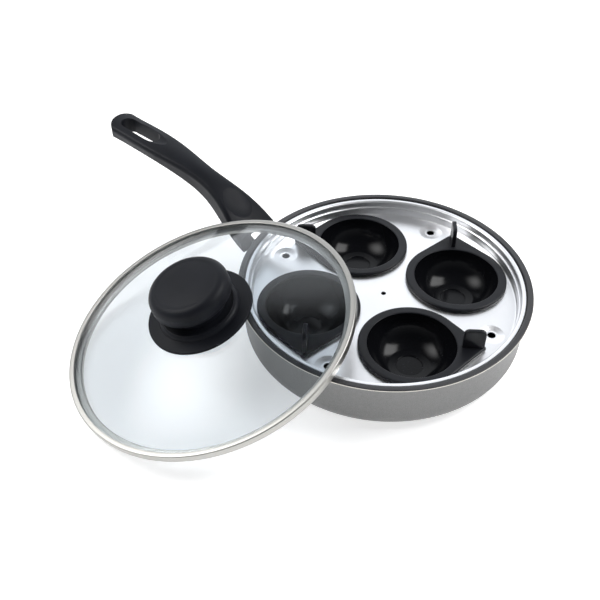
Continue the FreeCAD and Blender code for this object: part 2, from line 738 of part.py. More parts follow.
def poaching_tray():
    body = new_body("poaching_tray")
    step = f"({FLANGE_TOP} - tray_step_drop)"
    bend_low = f"({FLANGE_TOP} - tray_sheet - tray_bend)"
    revolve(body, "tray_sheet_turn", (
        ("0", f"{PLATE_TOP} - tray_sheet"),
        (f"{TRAY_LOWER} - tray_fillet", f"{PLATE_TOP} - tray_sheet"),
        (f"{TRAY_LOWER} + tray_sheet", f"{PLATE_TOP} + tray_fillet", "tray_fillet + tray_sheet", "left"),
        (f"{TRAY_LOWER} + tray_sheet", f"{step} - tray_sheet"),
        (f"{TRAY_WALL} + tray_sheet", f"{step} - tray_sheet"),
        (f"{TRAY_WALL} + tray_sheet", bend_low),
        (f"{TRAY_WALL} + tray_sheet + tray_bend", f"{FLANGE_TOP} - tray_sheet", "tray_bend", "right"),
        (TRAY_OUTER, f"{FLANGE_TOP} - tray_sheet"),
        (TRAY_OUTER, FLANGE_TOP),
        (f"{TRAY_WALL} + tray_sheet + tray_bend", FLANGE_TOP),
        (TRAY_WALL, bend_low, "tray_bend + tray_sheet", "left"),
        (TRAY_WALL, step),
        (TRAY_LOWER, step),
        (TRAY_LOWER, f"{PLATE_TOP} + tray_fillet"),
        (f"{TRAY_LOWER} - tray_fillet", PLATE_TOP, "tray_fillet", "right"),
        ("0", PLATE_TOP),
    ))
    doc.recompute()
    dimple_low = f"({PLATE_TOP} - dimple_depth)"
    boss = turn_about_vent(body, "dimple_back", "PartDesign::Revolution", (
        (VENT_RING, f"{dimple_low} - tray_sheet"),
        (f"{VENT_RING} + dimple_floor_radius + tray_sheet", f"{dimple_low} - tray_sheet"),
        (f"{VENT_RING} + dimple_radius + tray_sheet", f"{PLATE_TOP} - tray_sheet"),
        (f"{VENT_RING} + dimple_radius + tray_sheet", f"{PLATE_TOP} - tray_sheet / 2"),
        (VENT_RING, f"{PLATE_TOP} - tray_sheet / 2"),
    ))
    dish = turn_about_vent(body, "dimple_and_vent", "PartDesign::Groove", (
        (VENT_RING, f"{dimple_low} - tray_sheet - cut_overrun"),
        (f"{VENT_RING} + vent_radius", f"{dimple_low} - tray_sheet - cut_overrun"),
        (f"{VENT_RING} + vent_radius", dimple_low),
        (f"{VENT_RING} + dimple_floor_radius", dimple_low),
        (f"{VENT_RING} + dimple_radius", PLATE_TOP),
        (f"{VENT_RING} + dimple_radius", f"{PLATE_TOP} + cut_overrun"),
        (VENT_RING, f"{PLATE_TOP} + cut_overrun"),
    ))
    polar(body, "vents", [boss, dish])
    ahead = "(cup_angle - vent_angle)"
    hole = round_cut(body, "cup_hole", f"{CUP_RING} * cos({ahead})",
                     f"{CUP_RING} * sin({ahead})", f"{BOWL_OUTER} + cup_hole_gap")
    polar(body, "cup_holes", [hole])
    round_cut(body, "centre_hole", "0", "0", "centre_hole_radius")
    body.Placement = FreeCAD.Placement(FreeCAD.Vector(), about(Z_AXIS, size("vent_angle")))
    return body


# Egg cups

def egg_cup(index, name):
    """Moulded cup on a flange, with a pointed tab and an upright fin to lift it by."""
    label = f"egg_cup_{name}"
    body = new_body(label)
    floor = f"(cup_flange_height - {BOWL_DEPTH})"
    revolve(body, f"{label}_bowl", (
        ("0", f"{floor} - bowl_wall"),
        (CUP_FOOT, f"{floor} - bowl_wall"),
        (BOWL_OUTER, "0", BOWL_SKIN, "left"),
        (f"{CUP_FLANGE} - cup_edge_round", "0"),
        (CUP_FLANGE, "cup_edge_round", "cup_edge_round", "left"),
        (CUP_FLANGE, "cup_flange_height - cup_edge_round"),
        (f"{CUP_FLANGE} - cup_edge_round", "cup_flange_height", "cup_edge_round", "left"),
        (BOWL_RADIUS, "cup_flange_height"),
        (BOWL_FLOOR, floor, BOWL_CURVE, "right"),
        (BOWL_DISH, floor),
        (BOWL_DISH, f"{floor} - bowl_dish_depth"),
        ("0", f"{floor} - bowl_dish_depth"),
    ))
    slant = f"({CUP_FLANGE} / {TAB_REACH})"
    spread = f"sqrt(1 - {slant}^2)"
    inner = f"({BOWL_RADIUS} + bowl_wall)"
    tip = f"({TAB_REACH} - tab_tip_round / {slant} + tab_tip_round * {slant})"
    pad(body, f"{label}_tab", "XY_Plane", (
        (f"{inner} * {slant}", f"-{inner} * {spread}", inner, "right"),
        (f"{CUP_FLANGE} * {slant}", f"-{CUP_FLANGE} * {spread}"),
        (tip, f"-tab_tip_round * {spread}"),
        (tip, f"tab_tip_round * {spread}", "tab_tip_round", "left"),
        (f"{CUP_FLANGE} * {slant}", f"{CUP_FLANGE} * {spread}"),
        (f"{inner} * {slant}", f"{inner} * {spread}"),
    ), "cup_flange_height", "One side")
    fin_top = "(cup_flange_height + fin_height)"
    pad(body, f"{label}_fin", "XZ_Plane", (
        (FIN_START, "cup_flange_height / 2"),
        (FIN_END, "cup_flange_height / 2"),
        (FIN_END, f"{fin_top} - fin_corner_round"),
        (f"{FIN_END} - fin_corner_round", fin_top, "fin_corner_round", "left"),
        (f"{FIN_START} + fin_corner_round", fin_top),
        (FIN_START, f"{fin_top} - fin_corner_round", "fin_corner_round", "left"),
    ), "fin_thickness", "Symmetric")
    azimuth = size("cup_angle") + index * FULL_TURN / len(CUP_NAMES)
    out = about(Z_AXIS, azimuth).multVec(X_AXIS) * size(CUP_RING)
    seat = out + Z_AXIS * size(CUP_SEAT)
    body.Placement = FreeCAD.Placement(seat, about(Z_AXIS, azimuth + size("tab_angle")))
    return body


# Lid

def lid_place():
    """Place of the lid's frame, whose origin is the middle of its skirt's lower edge.

    The lid leans away from the pan. Its lowest point stays a lean gap above the table, and the
    skirt's edge stays a lean gap above the lip where the two circles cross. A steeper lean
    lifts that crossing, so the lean is found by halving the range it lies in.
    """
    reach = size(LID_REACH)
    skirt = size(SKIRT_RADIUS)
    outer = size(LID_RADIUS)
    rim = size("rim_radius")
    gentle, steep = LEAN_RANGE
    for step in range(LEAN_STEPS):
        lean = (gentle + steep) / 2
        sine = math.sin(lean)
        cosine = math.cos(lean)
        ring_low = outer * sine - size("skirt_depth") * cosine
        middle = size("lean_gap") + max(skirt * sine, ring_low)
        half_b = reach * skirt * cosine
        spare = reach ** 2 + skirt ** 2 - rim ** 2
        along = (math.sqrt(half_b ** 2 + (skirt * sine) ** 2 * spare) - half_b) / (skirt * sine) ** 2
        crossing = middle + skirt * along * sine
        if crossing < size("pan_height") + size("lean_gap"):
            gentle = lean
        else:
            steep = lean
    apart = math.acos((reach ** 2 + rim ** 2 - outer ** 2) / (2 * reach * rim))
    beside = math.asin(size("lid_crossing") / rim)
    facing = about(Z_AXIS, HANDLE_AZIMUTH + math.degrees(apart + beside))
    tip = about(facing.multVec(Y_AXIS), math.degrees(steep))
    return FreeCAD.Placement(facing.multVec(X_AXIS) * reach + Z_AXIS * middle, tip)


def lid_piece(label, corners):
    body = new_body(label)
    revolve(body, f"{label}_turn", corners)
    return body


def lid_rim():
    return lid_piece("lid_rim", (
        (SKIRT_RADIUS, "0"),
        (SKIRT_RADIUS, "skirt_depth"),
        (f"{LID_RADIUS} - ring_round", "skirt_depth"),
        (LID_RADIUS, "skirt_depth + ring_round", "ring_round", "left"),
        (LID_RADIUS, f"{RING_TOP} - ring_round"),
        (f"{LID_RADIUS} - ring_round", RING_TOP, "ring_round", "left"),
        (RING_LIP, RING_TOP),
        (RING_LIP, f"{RING_TOP} - ring_sheet"),
        (f"{LID_RADIUS} - ring_sheet", f"{RING_TOP} - ring_sheet"),
        (f"{LID_RADIUS} - ring_sheet", "skirt_depth + ring_sheet"),
        (f"{SKIRT_RADIUS} - ring_sheet", "skirt_depth + ring_sheet"),
        (f"{SKIRT_RADIUS} - ring_sheet", "0"),
    ))


def lid_rim_seal():
    return lid_piece("lid_rim_seal", (
        (RING_LIP, "skirt_depth + ring_sheet"),
        (f"{LID_RADIUS} - ring_sheet", "skirt_depth + ring_sheet"),
        (f"{LID_RADIUS} - ring_sheet", f"{RING_TOP} - ring_sheet"),
        (RING_LIP, f"{RING_TOP} - ring_sheet"),
        (RING_LIP, GLASS_RIM),
        (GLASS_EDGE, GLASS_RIM),
        (GLASS_EDGE, GLASS_LOW),
        (RING_LIP, GLASS_LOW),
    ))


def lid_glass():
    hole_top = dome_height("lid_hole_radius", "0")
    return lid_piece("lid_glass", (
        ("lid_hole_radius", f"{hole_top} - glass_thickness"),
        (DOME_RADIUS, GLASS_LOW, DOME_CURVE, "right"),
        (GLASS_EDGE, GLASS_LOW),
        (GLASS_EDGE, GLASS_RIM),
        (DOME_RADIUS, GLASS_RIM),
        ("lid_hole_radius", hole_top, DOME_CURVE, "left"),
    ))


def knob_base():
    return lid_piece("knob_base", (
        ("lid_hole_radius", dome_height("lid_hole_radius", "part_gap")),
        ("knob_base_radius", BASE_LOW, f"({DOME_CURVE} + part_gap)", "right"),
        ("knob_base_radius", f"{BASE_TOP} - knob_base_round"),
        ("knob_base_radius - knob_base_round", BASE_TOP, "knob_base_round", "left"),
        (COLLAR_FOOT, BASE_TOP),
        ("collar_radius", f"{BASE_TOP} + collar_rise", "collar_curve", "left"),
        ("collar_radius - collar_width", f"{BASE_TOP} + collar_rise"),
        ("collar_radius - collar_width", KNOB_SEAT),
        ("lid_hole_radius", KNOB_SEAT),
    ))


def lid_knob():
    under = f"({KNOB_LOW} + stem_height)"
    side = f"({under} + knob_edge_round + knob_side_height)"
    shoulder = "((knob_shoulder_width^2 + knob_shoulder_height^2) / (2 * knob_shoulder_width))"
    cap = "(knob_radius - knob_shoulder_width)"
    pocket = f"({KNOB_LOW} + insert_length + part_gap)"
    return lid_piece("lid_knob", (
        ("insert_radius + part_gap", KNOB_LOW),
        ("stem_radius", KNOB_LOW),
        ("stem_radius", under),
        ("knob_radius - knob_edge_round", under),
        ("knob_radius", f"{under} + knob_edge_round", "knob_edge_round", "left"),
        ("knob_radius", side),
        (cap, f"{side} + knob_shoulder_height", shoulder, "left"),
        ("0", f"{side} + knob_shoulder_height + knob_crown_height",
         f"(({cap}^2 + knob_crown_height^2) / (2 * knob_crown_height))", "left"),
        ("0", pocket),
        ("insert_radius + part_gap", pocket),
    ))


def washer_like(label, inner, outer, low, high):
    return lid_piece(label, ((inner, low), (outer, low), (outer, high), (inner, high)))


def lid_screw():
    top = f"({KNOB_LOW} + lid_screw_reach)"
    low = f"({WASHER_LOW} - lid_screw_head_height)"
    body = lid_piece("lid_screw", (
        ("0", low),
        ("lid_screw_head_radius - lid_screw_round", low),
        ("lid_screw_head_radius", f"{low} + lid_screw_round", "lid_screw_round", "left"),
        ("lid_screw_head_radius", WASHER_LOW),
        ("lid_screw_radius", WASHER_LOW),
        ("lid_screw_radius", top),
        ("0", top),
    ))
    driver_slot(body, "lid_screw_head_radius", low)
    return body


def lid_pieces():
    bore = "lid_screw_radius + part_gap"
    pieces = [
        lid_rim(),
        lid_rim_seal(),
        lid_glass(),
        knob_base(),
        lid_knob(),
        washer_like("knob_insert", bore, "insert_radius", KNOB_LOW, f"{KNOB_LOW} + insert_length"),
        washer_like("lid_gasket", bore, "gasket_radius", WASHER_TOP, GASKET_TOP),
        washer_like("lid_washer", bore, "washer_radius", WASHER_LOW, WASHER_TOP),
        lid_screw(),
    ]
    place = lid_place()
    for body in pieces:
        body.Placement = place
    return pieces


# Build, check and write every piece

def faults(item):
    """What is wrong with an object of the model, as words."""
    found = [state for state in item.State if state in ("Invalid", "Error")]
    if item.isDerivedFrom("Sketcher::SketchObject") and item.solve() != 0:
        found.append("unsolved")
    return found


pieces = [pan_shell(), handle_bracket(), bracket_rivets(), handle_grip(), handle_screw(), poaching_tray()]
pieces += [egg_cup(index, name) for index, name in enumerate(CUP_NAMES)]
pieces += lid_pieces()
doc.recompute()

for item in doc.Objects:
    if faults(item):
        raise RuntimeError(f"{item.Label}: {faults(item)}")
for piece in pieces:
    if piece.Shape.isNull() or not piece.Shape.isValid() or not piece.Shape.Solids:
        raise RuntimeError(f"{piece.Label} has no valid solid")

os.makedirs("parts", exist_ok=True)
for piece in pieces:
    piece.Shape.exportStep(f"parts/{piece.Label}.step")
    print(f"{piece.Label}: {len(piece.Shape.Solids)} solid, {piece.Shape.Volume:.1f} mm3")
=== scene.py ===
"""Egg poacher pan: a low grey pan, a bright tray, four black egg cups and a glass lid that leans on the rim.

The sizes of the pieces are properties, in metres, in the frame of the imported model.
"""
import math

import bmesh
import bpy
import numpy as np
from mathutils import Matrix, Vector
from mathutils.geometry import delaunay_2d_cdt


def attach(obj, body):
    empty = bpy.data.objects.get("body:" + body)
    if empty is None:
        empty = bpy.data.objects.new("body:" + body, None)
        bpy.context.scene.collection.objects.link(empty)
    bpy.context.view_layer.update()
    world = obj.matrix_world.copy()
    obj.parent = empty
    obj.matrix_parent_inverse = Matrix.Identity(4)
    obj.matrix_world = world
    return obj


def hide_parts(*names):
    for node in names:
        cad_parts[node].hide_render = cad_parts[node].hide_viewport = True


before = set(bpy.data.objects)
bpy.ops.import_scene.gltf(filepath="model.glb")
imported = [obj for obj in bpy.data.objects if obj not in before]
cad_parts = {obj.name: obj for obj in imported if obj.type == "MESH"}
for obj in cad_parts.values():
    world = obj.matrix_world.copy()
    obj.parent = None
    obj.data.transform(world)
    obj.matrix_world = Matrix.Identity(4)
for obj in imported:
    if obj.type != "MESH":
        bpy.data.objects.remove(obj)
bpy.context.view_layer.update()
MM = 0.001
QUARTER = math.tau / 4
FULL = math.tau
CUP_NAMES = ("right", "back", "left", "front")
TURN_STEPS = 256
HOLE_STEPS = {"centre": 32, "cup": 128, "vent": 64}
TIP_STEPS = 17
RING_STEPS = 181
SIDE_STEPS = 22
FLOOR_STEPS = 96
FLOOR_RINGS = 24
FIN_FACE_INSET = 0.08
SOFT_ANGLE = math.radians(40)
SAME_POINT = 1e-7
EMPTY_EDGE = 1e-8
SEAM_GAP = 1e-6
FLAT_TOLERANCE = 1e-9
HULL_TRIANGLES = 0
NOISE_RANGE = (0.3, 0.7)
SENSOR_WIDTH = 36.0
CLIP_START = 0.01
BACKDROP_RISE = 0.33
# Cosine off the backdrop's middle, and sine of the height of the far walls, where each starts and is full
BACKDROP_FADE = (0.78, 0.965)
WALL_FADE = (0.75, 0.10)
# Way to each softbox, and the share of its side, from the middle, that is evenly bright
SOFTBOXES = {"right": ((0.44, 0.45, 0.78), 0.3), "left": ((-0.58, -0.30, 0.74), 0.02)}

bl_info = {
    "name": "Egg Poacher Pan",
    "version": (1, 0, 0),
    "blender": (4, 5, 0),
    "location": "View3D > Sidebar > Poacher",
    "description": "Builds the visible pieces of an egg poacher pan around its packed model",
    "category": "Add Mesh",
}


# Properties

def named(group):
    """Makes the properties of a group, each named after its field."""
    for field, make in group.__annotations__.items():
        group.__annotations__[field] = make(field.replace("_", " ").capitalize())
    return group


def length(description, millimetres):
    """A length whose default is given in millimetres."""
    return lambda name: bpy.props.FloatProperty(
        name=name, description=description, default=millimetres * MM, min=0.0, precision=5, unit="LENGTH")


def turn(description, degrees):
    """An angle whose default is given in degrees."""
    return lambda name: bpy.props.FloatProperty(
        name=name, description=description, default=math.radians(degrees), unit="ROTATION")


def share(description, default):
    """A number from zero to one."""
    return lambda name: bpy.props.FloatProperty(
        name=name, description=description, default=default, min=0.0, max=1.0, subtype="FACTOR")


def colour(description, default):
    """A linear colour."""
    return lambda name: bpy.props.FloatVectorProperty(
        name=name, description=description, default=default, size=3, min=0.0, max=1.0, subtype="COLOR")


def amount(description, default, unit="NONE"):
    """A number without limits."""
    return lambda name: bpy.props.FloatProperty(name=name, description=description, default=default, unit=unit)


@named
class PoacherPanSizes(bpy.types.PropertyGroup):
    """Sizes of the pan's turned body."""
    rim_radius: length("Outer radius of the lip", 103.0)
    height: length("Height of the lip above the table", 42.0)
    lip_width: length("Width of the dark lip", 4.3)
    lip_thickness: length("Height of the lip's edge", 1.8)
    lip_round: length("Rounding of the lip's corners", 0.8)
    base_radius: length("Radius where the base turns into the corner", 87.0)
    corner_radius: length("Radius between base and wall", 12.4)
    base_thickness: length("Thickness of the base", 3.6)
    wall_thickness: length("Thickness of the wall", 3.5)
    wall_flare: length("How far the wall leans out at the top", 2.7)
    ledge_drop: length("Depth of the ledge that carries the tray", 2.2)
    ledge_width: length("Width of that ledge", 2.1)
    bare_share: share("Share of the lip's outer rounding that is bare metal", 0.45)
    base_hollow: length("Depth of the hollow under the base", 0.5)
    hollow_share: share("Radius of that hollow as a share of the base's", 0.7)


@named
class PoacherTraySizes(bpy.types.PropertyGroup):
    """Sizes of the pressed tray."""
    radius: length("Outer radius of the flange", 97.8)
    top: length("Height of the flange's upper face", 40.9)
    sheet: length("Thickness of the sheet", 1.0)
    depth: length("Depth of the plate below the flange", 11.4)
    wall_radius: length("Inner radius of the upper wall", 94.8)
    bend: length("Inner radius of the bend under the flange", 0.4)
    step_drop: length("Depth of the step in the wall", 5.2)
    step_width: length("Width of that step", 1.2)
    step_round: length("Rounding of the step's corners", 0.45)
    fillet: length("Radius between wall and plate", 1.4)
    rest: length("Flat strip that the plate keeps round each bend", 0.3)
    cup_hole: length("Radius of each cup's hole", 32.08)
    centre_hole: length("Radius of the hole in the middle", 1.8)
    vent_ring: length("Distance of a vent from the pan's axis", 81.5)
    vent_turn: turn("Azimuth of the first vent", 7.2)
    vent_radius: length("Radius of a vent's hole", 2.9)
    dimple_radius: length("Radius of the dimple round a vent", 8.6)
    dimple_floor: length("Radius of the dimple's floor", 4.4)
    dimple_depth: length("Depth of the dimple", 0.9)
    dimple_round: length("Radius of the dimple's soft edges", 2.6)


@named
class PoacherCupSizes(bpy.types.PropertyGroup):
    """Sizes and places of the egg cups."""
    ring_radius: length("Distance of a cup from the pan's axis", 55.4)
    ring_turn: turn("Azimuth of the right cup", 53.3)
    tab_turn: turn("Turn of the tab from the line out of the pan's axis", 70.5)
    seat: length("Height of the flange's underside", 29.6)
    flange_radius: length("Outer radius of the flange", 36.2)
    flange_height: length("Height of the flange", 3.2)
    edge_round: length("Rounding of the flange's edges", 1.3)
    crease: length("Depth of the moulding line round the flange", 0.22)
    bowl_radius: length("Radius of the bowl's mouth", 29.9)
    bowl_floor: length("Radius of the bowl's floor", 14.0)
    bowl_depth: length("Depth of the bowl", 21.0)
    bowl_wall: length("Thickness of the bowl", 1.6)
    mouth_round: length("Rounding of the bowl's mouth", 0.6)
    dish_radius: length("Radius of the dish in the bowl's floor", 9.0)
    dish_depth: length("Depth of that dish", 0.6)
    dish_round: length("Rounding of the dish's upper edge", 0.3)
    dish_bevel: length("Bevel at the foot of the dish's wall", 0.06)
    tab_reach: length("Distance at which the tab's sides would meet", 49.5)
    tab_round: length("Radius of the tab's point", 1.6)
    fin_start: length("Distance of the fin's inner edge from the cup's middle", 33.0)
    fin_end: length("Distance of the fin's outer edge", 47.6)
    fin_height: length("Height of the fin above the flange", 15.0)
    fin_thickness: length("Thickness of the fin", 3.0)
    fin_corner: length("Radius of the fin's upper corners", 3.6)
    fin_round: length("Rounding of the fin's edges", 0.7)


@named
class PoacherLidSizes(bpy.types.PropertyGroup):
    """Sizes and place of the lid, about its own axis from the lower edge of its skirt."""
    azimuth: turn("Direction in which the lid leans", 234.775362)
    lean: turn("Angle of the lid's axis from upright", 16.117586)
    reach: length("Distance of the lid's middle from the pan's axis", 124.9)
    middle: length("Height of the skirt's middle above the table", 26.506341)
    radius: length("Outer radius of the ring", 102.2)
    ring_sheet: length("Thickness of the ring's sheet", 0.6)
    ring_round: length("Outer rounding of the ring", 0.9)
    ring_lip: length("Width of the ring's upper lip", 3.6)
    skirt_depth: length("Depth of the skirt", 2.5)
    skirt_radius: length("Outer radius of the skirt", 94.4)
    skirt_bevel: length("Bevel outside, between skirt and ring", 0.4)
    inner_bevel: length("Bevel inside, between skirt and ring", 0.6)
    seal: length("Thickness of the seal round the glass", 0.4)
    glass: length("Thickness of the glass", 3.6)
    glass_round: length("Rounding of the glass's edge", 0.5)
    dome_rise: length("Rise of the dome", 18.7)
    hole_radius: length("Radius of the hole for the screw", 3.4)
    gap: length("Gap between pieces that touch", 0.15)


@named
class PoacherKnobSizes(bpy.types.PropertyGroup):
    """Sizes of the lid's knob and the disc under it."""
    base_radius: length("Radius of the disc", 36.5)
    base_edge: length("Height of the disc's edge", 1.734)
    base_round: length("Rounding of the disc's edge", 0.7)
    base_web: length("Thickness of the disc's middle", 1.6)
    collar_radius: length("Radius of the collar", 25.6)
    collar_width: length("Width of the collar's rim", 1.2)
    collar_rise: length("Height of the collar", 3.4)
    collar_slope: length("How far the collar's foot spreads", 2.4)
    collar_curve: length("Radius of that foot", 3.6)
    collar_lift: length("Height at which the foot begins", 0.2)
    collar_flat: length("Width of the soft edge round the foot", 1.2)
    collar_round: length("Rounding of the collar's rim", 0.4)
    stem_radius: length("Radius of the stem", 19.0)
    stem_height: length("Height of the stem", 10.8)
    stem_fillet: length("Radius between stem and knob", 1.6)
    radius: length("Radius of the knob", 27.5)
    side: length("Height of the knob's upright side", 4.6)
    edge_round: length("Rounding of the knob's lower edge", 1.6)
    shoulder_width: length("Width of the rounded shoulder", 7.0)
    shoulder_height: length("Height of the shoulder", 6.2)
    crown: length("Height of the crown above the shoulder", 1.2)
    bore: length("Radius of the bore for the insert", 4.55)
    bore_depth: length("Depth of that bore", 12.15)


@named
class PoacherFinishes(bpy.types.PropertyGroup):
    """Colours of the finishes."""
    enamel: colour("Grey enamel of the pan's outside", (0.205, 0.205, 0.203))
    coating: colour("Dark coating of the lip and the inside", (0.030, 0.030, 0.033))
    bare: colour("Bare line round the lip and the base", (0.80, 0.77, 0.70))
    aluminium: colour("Polished sheet of the tray", (0.93, 0.935, 0.95))
    cup: colour("Black of the egg cups", (0.0045, 0.0048, 0.006))
    cup_flange: colour("Satin black of the cups' flanges and fins", (0.010, 0.0108, 0.0138))
    plastic: colour("Black of the handle and the knob", (0.0075, 0.0085, 0.012))
    steel: colour("Bright steel of the bracket, rivets and screws", (0.64, 0.635, 0.615))
    ring: colour("Steel of the lid's ring", (0.47, 0.463, 0.44))
    # Tint of the glass: a faint real blue-green, made deeper as painted shade for the lid's shadow on the floor
    # below it
    glass: colour("Tint of the glass", (0.77, 0.805, 0.83))
    rubber: colour("Seal and gasket", (0.45, 0.45, 0.44))
    brass: colour("Insert in the knob", (0.72, 0.55, 0.25))


@named
class PoacherStage(bpy.types.PropertyGroup):
    """Camera, floor and light."""
    distance: length("Distance of the camera from the pan's base", 623.556)
    elevation: turn("Angle of the camera above the table", 44.16)
    azimuth: turn("Turn of the camera round the pan", 30.4)
    yaw: turn("Turn of the camera to the side", -5.61)
    pitch: turn("Turn of the camera downwards", -1.07)
    roll: turn("Turn of the camera about its axis", 4.98)
    lens: amount("Focal length on a 36 mm sensor", 50.494, unit="CAMERA")
    floor_radius: length("Radius of the floor", 6000.0)
    floor_gap: length("Depth of the floor under the pan's base", 0.3)
    floor_glow: amount("Light that the floor gives by itself", 0.6)
    softbox_distance: length("Distance of each softbox", 1150.0)
    left_side: length("Side of the large square softbox on the left", 1100.0)
    left_glow: amount("Brightness of the left softbox in its middle", 7.0)
    right_side: length("Side of the smaller square softbox on the right", 720.0)
    right_glow: amount("Brightness of the right softbox in its middle", 9.0)
    tint: colour("Colour of the surroundings", (0.93, 0.96, 1.0))
    backdrop: amount("Brightness of the white backdrop behind the pan", 1.5)
    ceiling: amount("Brightness of the dim ceiling", 0.06)
    horizon: share("Brightness of the far walls as a share of the backdrop", 0.35)


GROUPS = {
    "poacher_pan": PoacherPanSizes,
    "poacher_tray": PoacherTraySizes,
    "poacher_cup": PoacherCupSizes,
    "poacher_lid": PoacherLidSizes,
    "poacher_knob": PoacherKnobSizes,
    "poacher_finish": PoacherFinishes,
    "poacher_stage": PoacherStage,
}


# Outlines and surfaces

def arc(centre, radius, first, last, steps):
    """Points on a circle: centre + radius * (cos a, sin a), with the angle a going evenly from first to last."""
    angle = np.linspace(first, last, steps)
    return np.asarray(centre) + radius * np.stack([np.cos(angle), np.sin(angle)], -1)


def bulge(start, finish, radius, left, steps):
    """Short arc from start to finish of a radius that turns left or right."""
    start = np.asarray(start, float)
    finish = np.asarray(finish, float)
    chord = finish - start
    span = np.linalg.norm(chord)
    side = np.array([-chord[1], chord[0]]) / span * (1 if left else -1)
    centre = (start + finish) / 2 + side * math.sqrt(max(radius ** 2 - span ** 2 / 4, 0.0))
    first = math.atan2(*(start - centre)[::-1])
    last = math.atan2(*(finish - centre)[::-1])
    swing = (last - first) % (FULL)
    return arc(centre, radius, first, first + (swing if left else swing - FULL), steps)


def outline(*runs):
    """Joins points and arcs into one outline, in order."""
    return np.concatenate([np.atleast_2d(np.asarray(run, float)) for run in runs])


def turned(profile, steps=TURN_STEPS):
    """Surface of revolution: P(a, s) = (r(s) cos a, r(s) sin a, z(s)) for a profile of (r, z) rows."""
    angle = np.linspace(0, FULL, steps, endpoint=False)[:, None]
    radius = profile[None, :, 0]
    height = np.broadcast_to(profile[None, :, 1], (steps, len(profile)))
    return np.stack([np.cos(angle) * radius, np.sin(angle) * radius, height], -1)


def grid_faces(rows, columns, closed_across):
    """Corner numbers of the quads of a grid that closes on itself along its rows, and across them if asked."""
    number = np.arange(rows * columns).reshape(rows, columns)
    ahead = np.roll(number, -1, axis=0)
    quads = np.stack([number, ahead, np.roll(ahead, -1, axis=1), np.roll(number, -1, axis=1)], -1)
    return quads if closed_across else quads[:, :-1]


def moved(grid, matrix):
    """Grid points carried by a 4 x 4 matrix."""
    place = np.array(matrix, float)
    return grid @ place[:3, :3].T + place[:3, 3]


def skin(name, shells, materials, body, nodes):
    """Makes one piece of grid shells. A shell is (grid, closed_across, zone of each column of faces)."""
    points, faces, zones = [], [], []
    first = 0
    for grid, closed_across, zone in shells:
        quads = grid_faces(grid.shape[0], grid.shape[1], closed_across)
        zone = np.broadcast_to(np.asarray(zone, int), quads.shape[:2])
        flat = grid.reshape(-1, 3)
        quads = quads.reshape(-1, 4)
        corner = flat[quads] - flat.mean(0)
        volume = np.einsum("ij,ij->i", corner[:, 0], np.cross(corner[:, 1], corner[:, 2])).sum()
        volume += np.einsum("ij,ij->i", corner[:, 0], np.cross(corner[:, 2], corner[:, 3])).sum()
        if volume < 0:
            quads = quads[:, ::-1]
        points.append(flat)
        faces.append(quads + first)
        zones.append(zone.reshape(-1))
        first += len(flat)
    mesh = bpy.data.meshes.new(name)
    mesh.from_pydata(np.concatenate(points).tolist(), [], np.concatenate(faces).tolist())
    mesh.polygons.foreach_set("material_index", np.concatenate(zones).astype(np.int32))
    return dress(name, mesh, materials, body, nodes)


def dress(name, mesh, materials, body, nodes):
    """Merges a mesh's doubles, shades it and makes it a piece that rides on a body and stands for CAD nodes."""
    work = bmesh.new()
    work.from_mesh(mesh)
    bmesh.ops.remove_doubles(work, verts=work.verts, dist=SAME_POINT)
    bmesh.ops.dissolve_degenerate(work, edges=work.edges, dist=EMPTY_EDGE)
    work.to_mesh(mesh)
    work.free()
    mesh.shade_smooth()
    mesh.set_sharp_from_angle(angle=SOFT_ANGLE)
    for material in materials:
        mesh.materials.append(material)
    piece = bpy.data.objects.new(name, mesh)
    bpy.context.scene.collection.objects.link(piece)
    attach(piece, body)
    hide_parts(*nodes)
    return piece


def add_faces(work, points, faces):
    """Adds an array of points and an array of their faces to a mesh in the making."""
    mesh = bpy.data.meshes.new("part")
    mesh.from_pydata(points.tolist(), [], faces.tolist())
    work.from_mesh(mesh)
    bpy.data.meshes.remove(mesh)


def zone_marks(counts):
    """Zone number of each column of faces: zone k is repeated counts[k] times."""
    return np.repeat(np.arange(len(counts)), counts)


# Finishes

def add_node(tree, kind, **settings):
    """New node of a tree, with its own settings."""
    made = tree.nodes.new(kind)
    for key, value in settings.items():
        setattr(made, key, value)
    return made


def joined(tree, operation, values):
    """Values joined by a sum, a product or the like."""
    made = add_node(tree, "ShaderNodeMath", operation=operation)
    for index, value in enumerate(values):
        tree.links.new(value, made.inputs[index])
    return made.outputs[0]


def parted(tree, vector):
    """Outputs X, Y and Z of a vector."""
    split = add_node(tree, "ShaderNodeSeparateXYZ")
    tree.links.new(vector, split.inputs[0])
    return split.outputs


def ranged(tree, value, source, target, step="LINEAR"):
    """Value taken from one range to another."""
    span = add_node(tree, "ShaderNodeMapRange", interpolation_type=step)
    for key, number in zip(("From Min", "From Max", "To Min", "To Max"), (*source, *target)):
        span.inputs[key].default_value = number
    tree.links.new(value, span.inputs["Value"])
    return span.outputs["Result"]


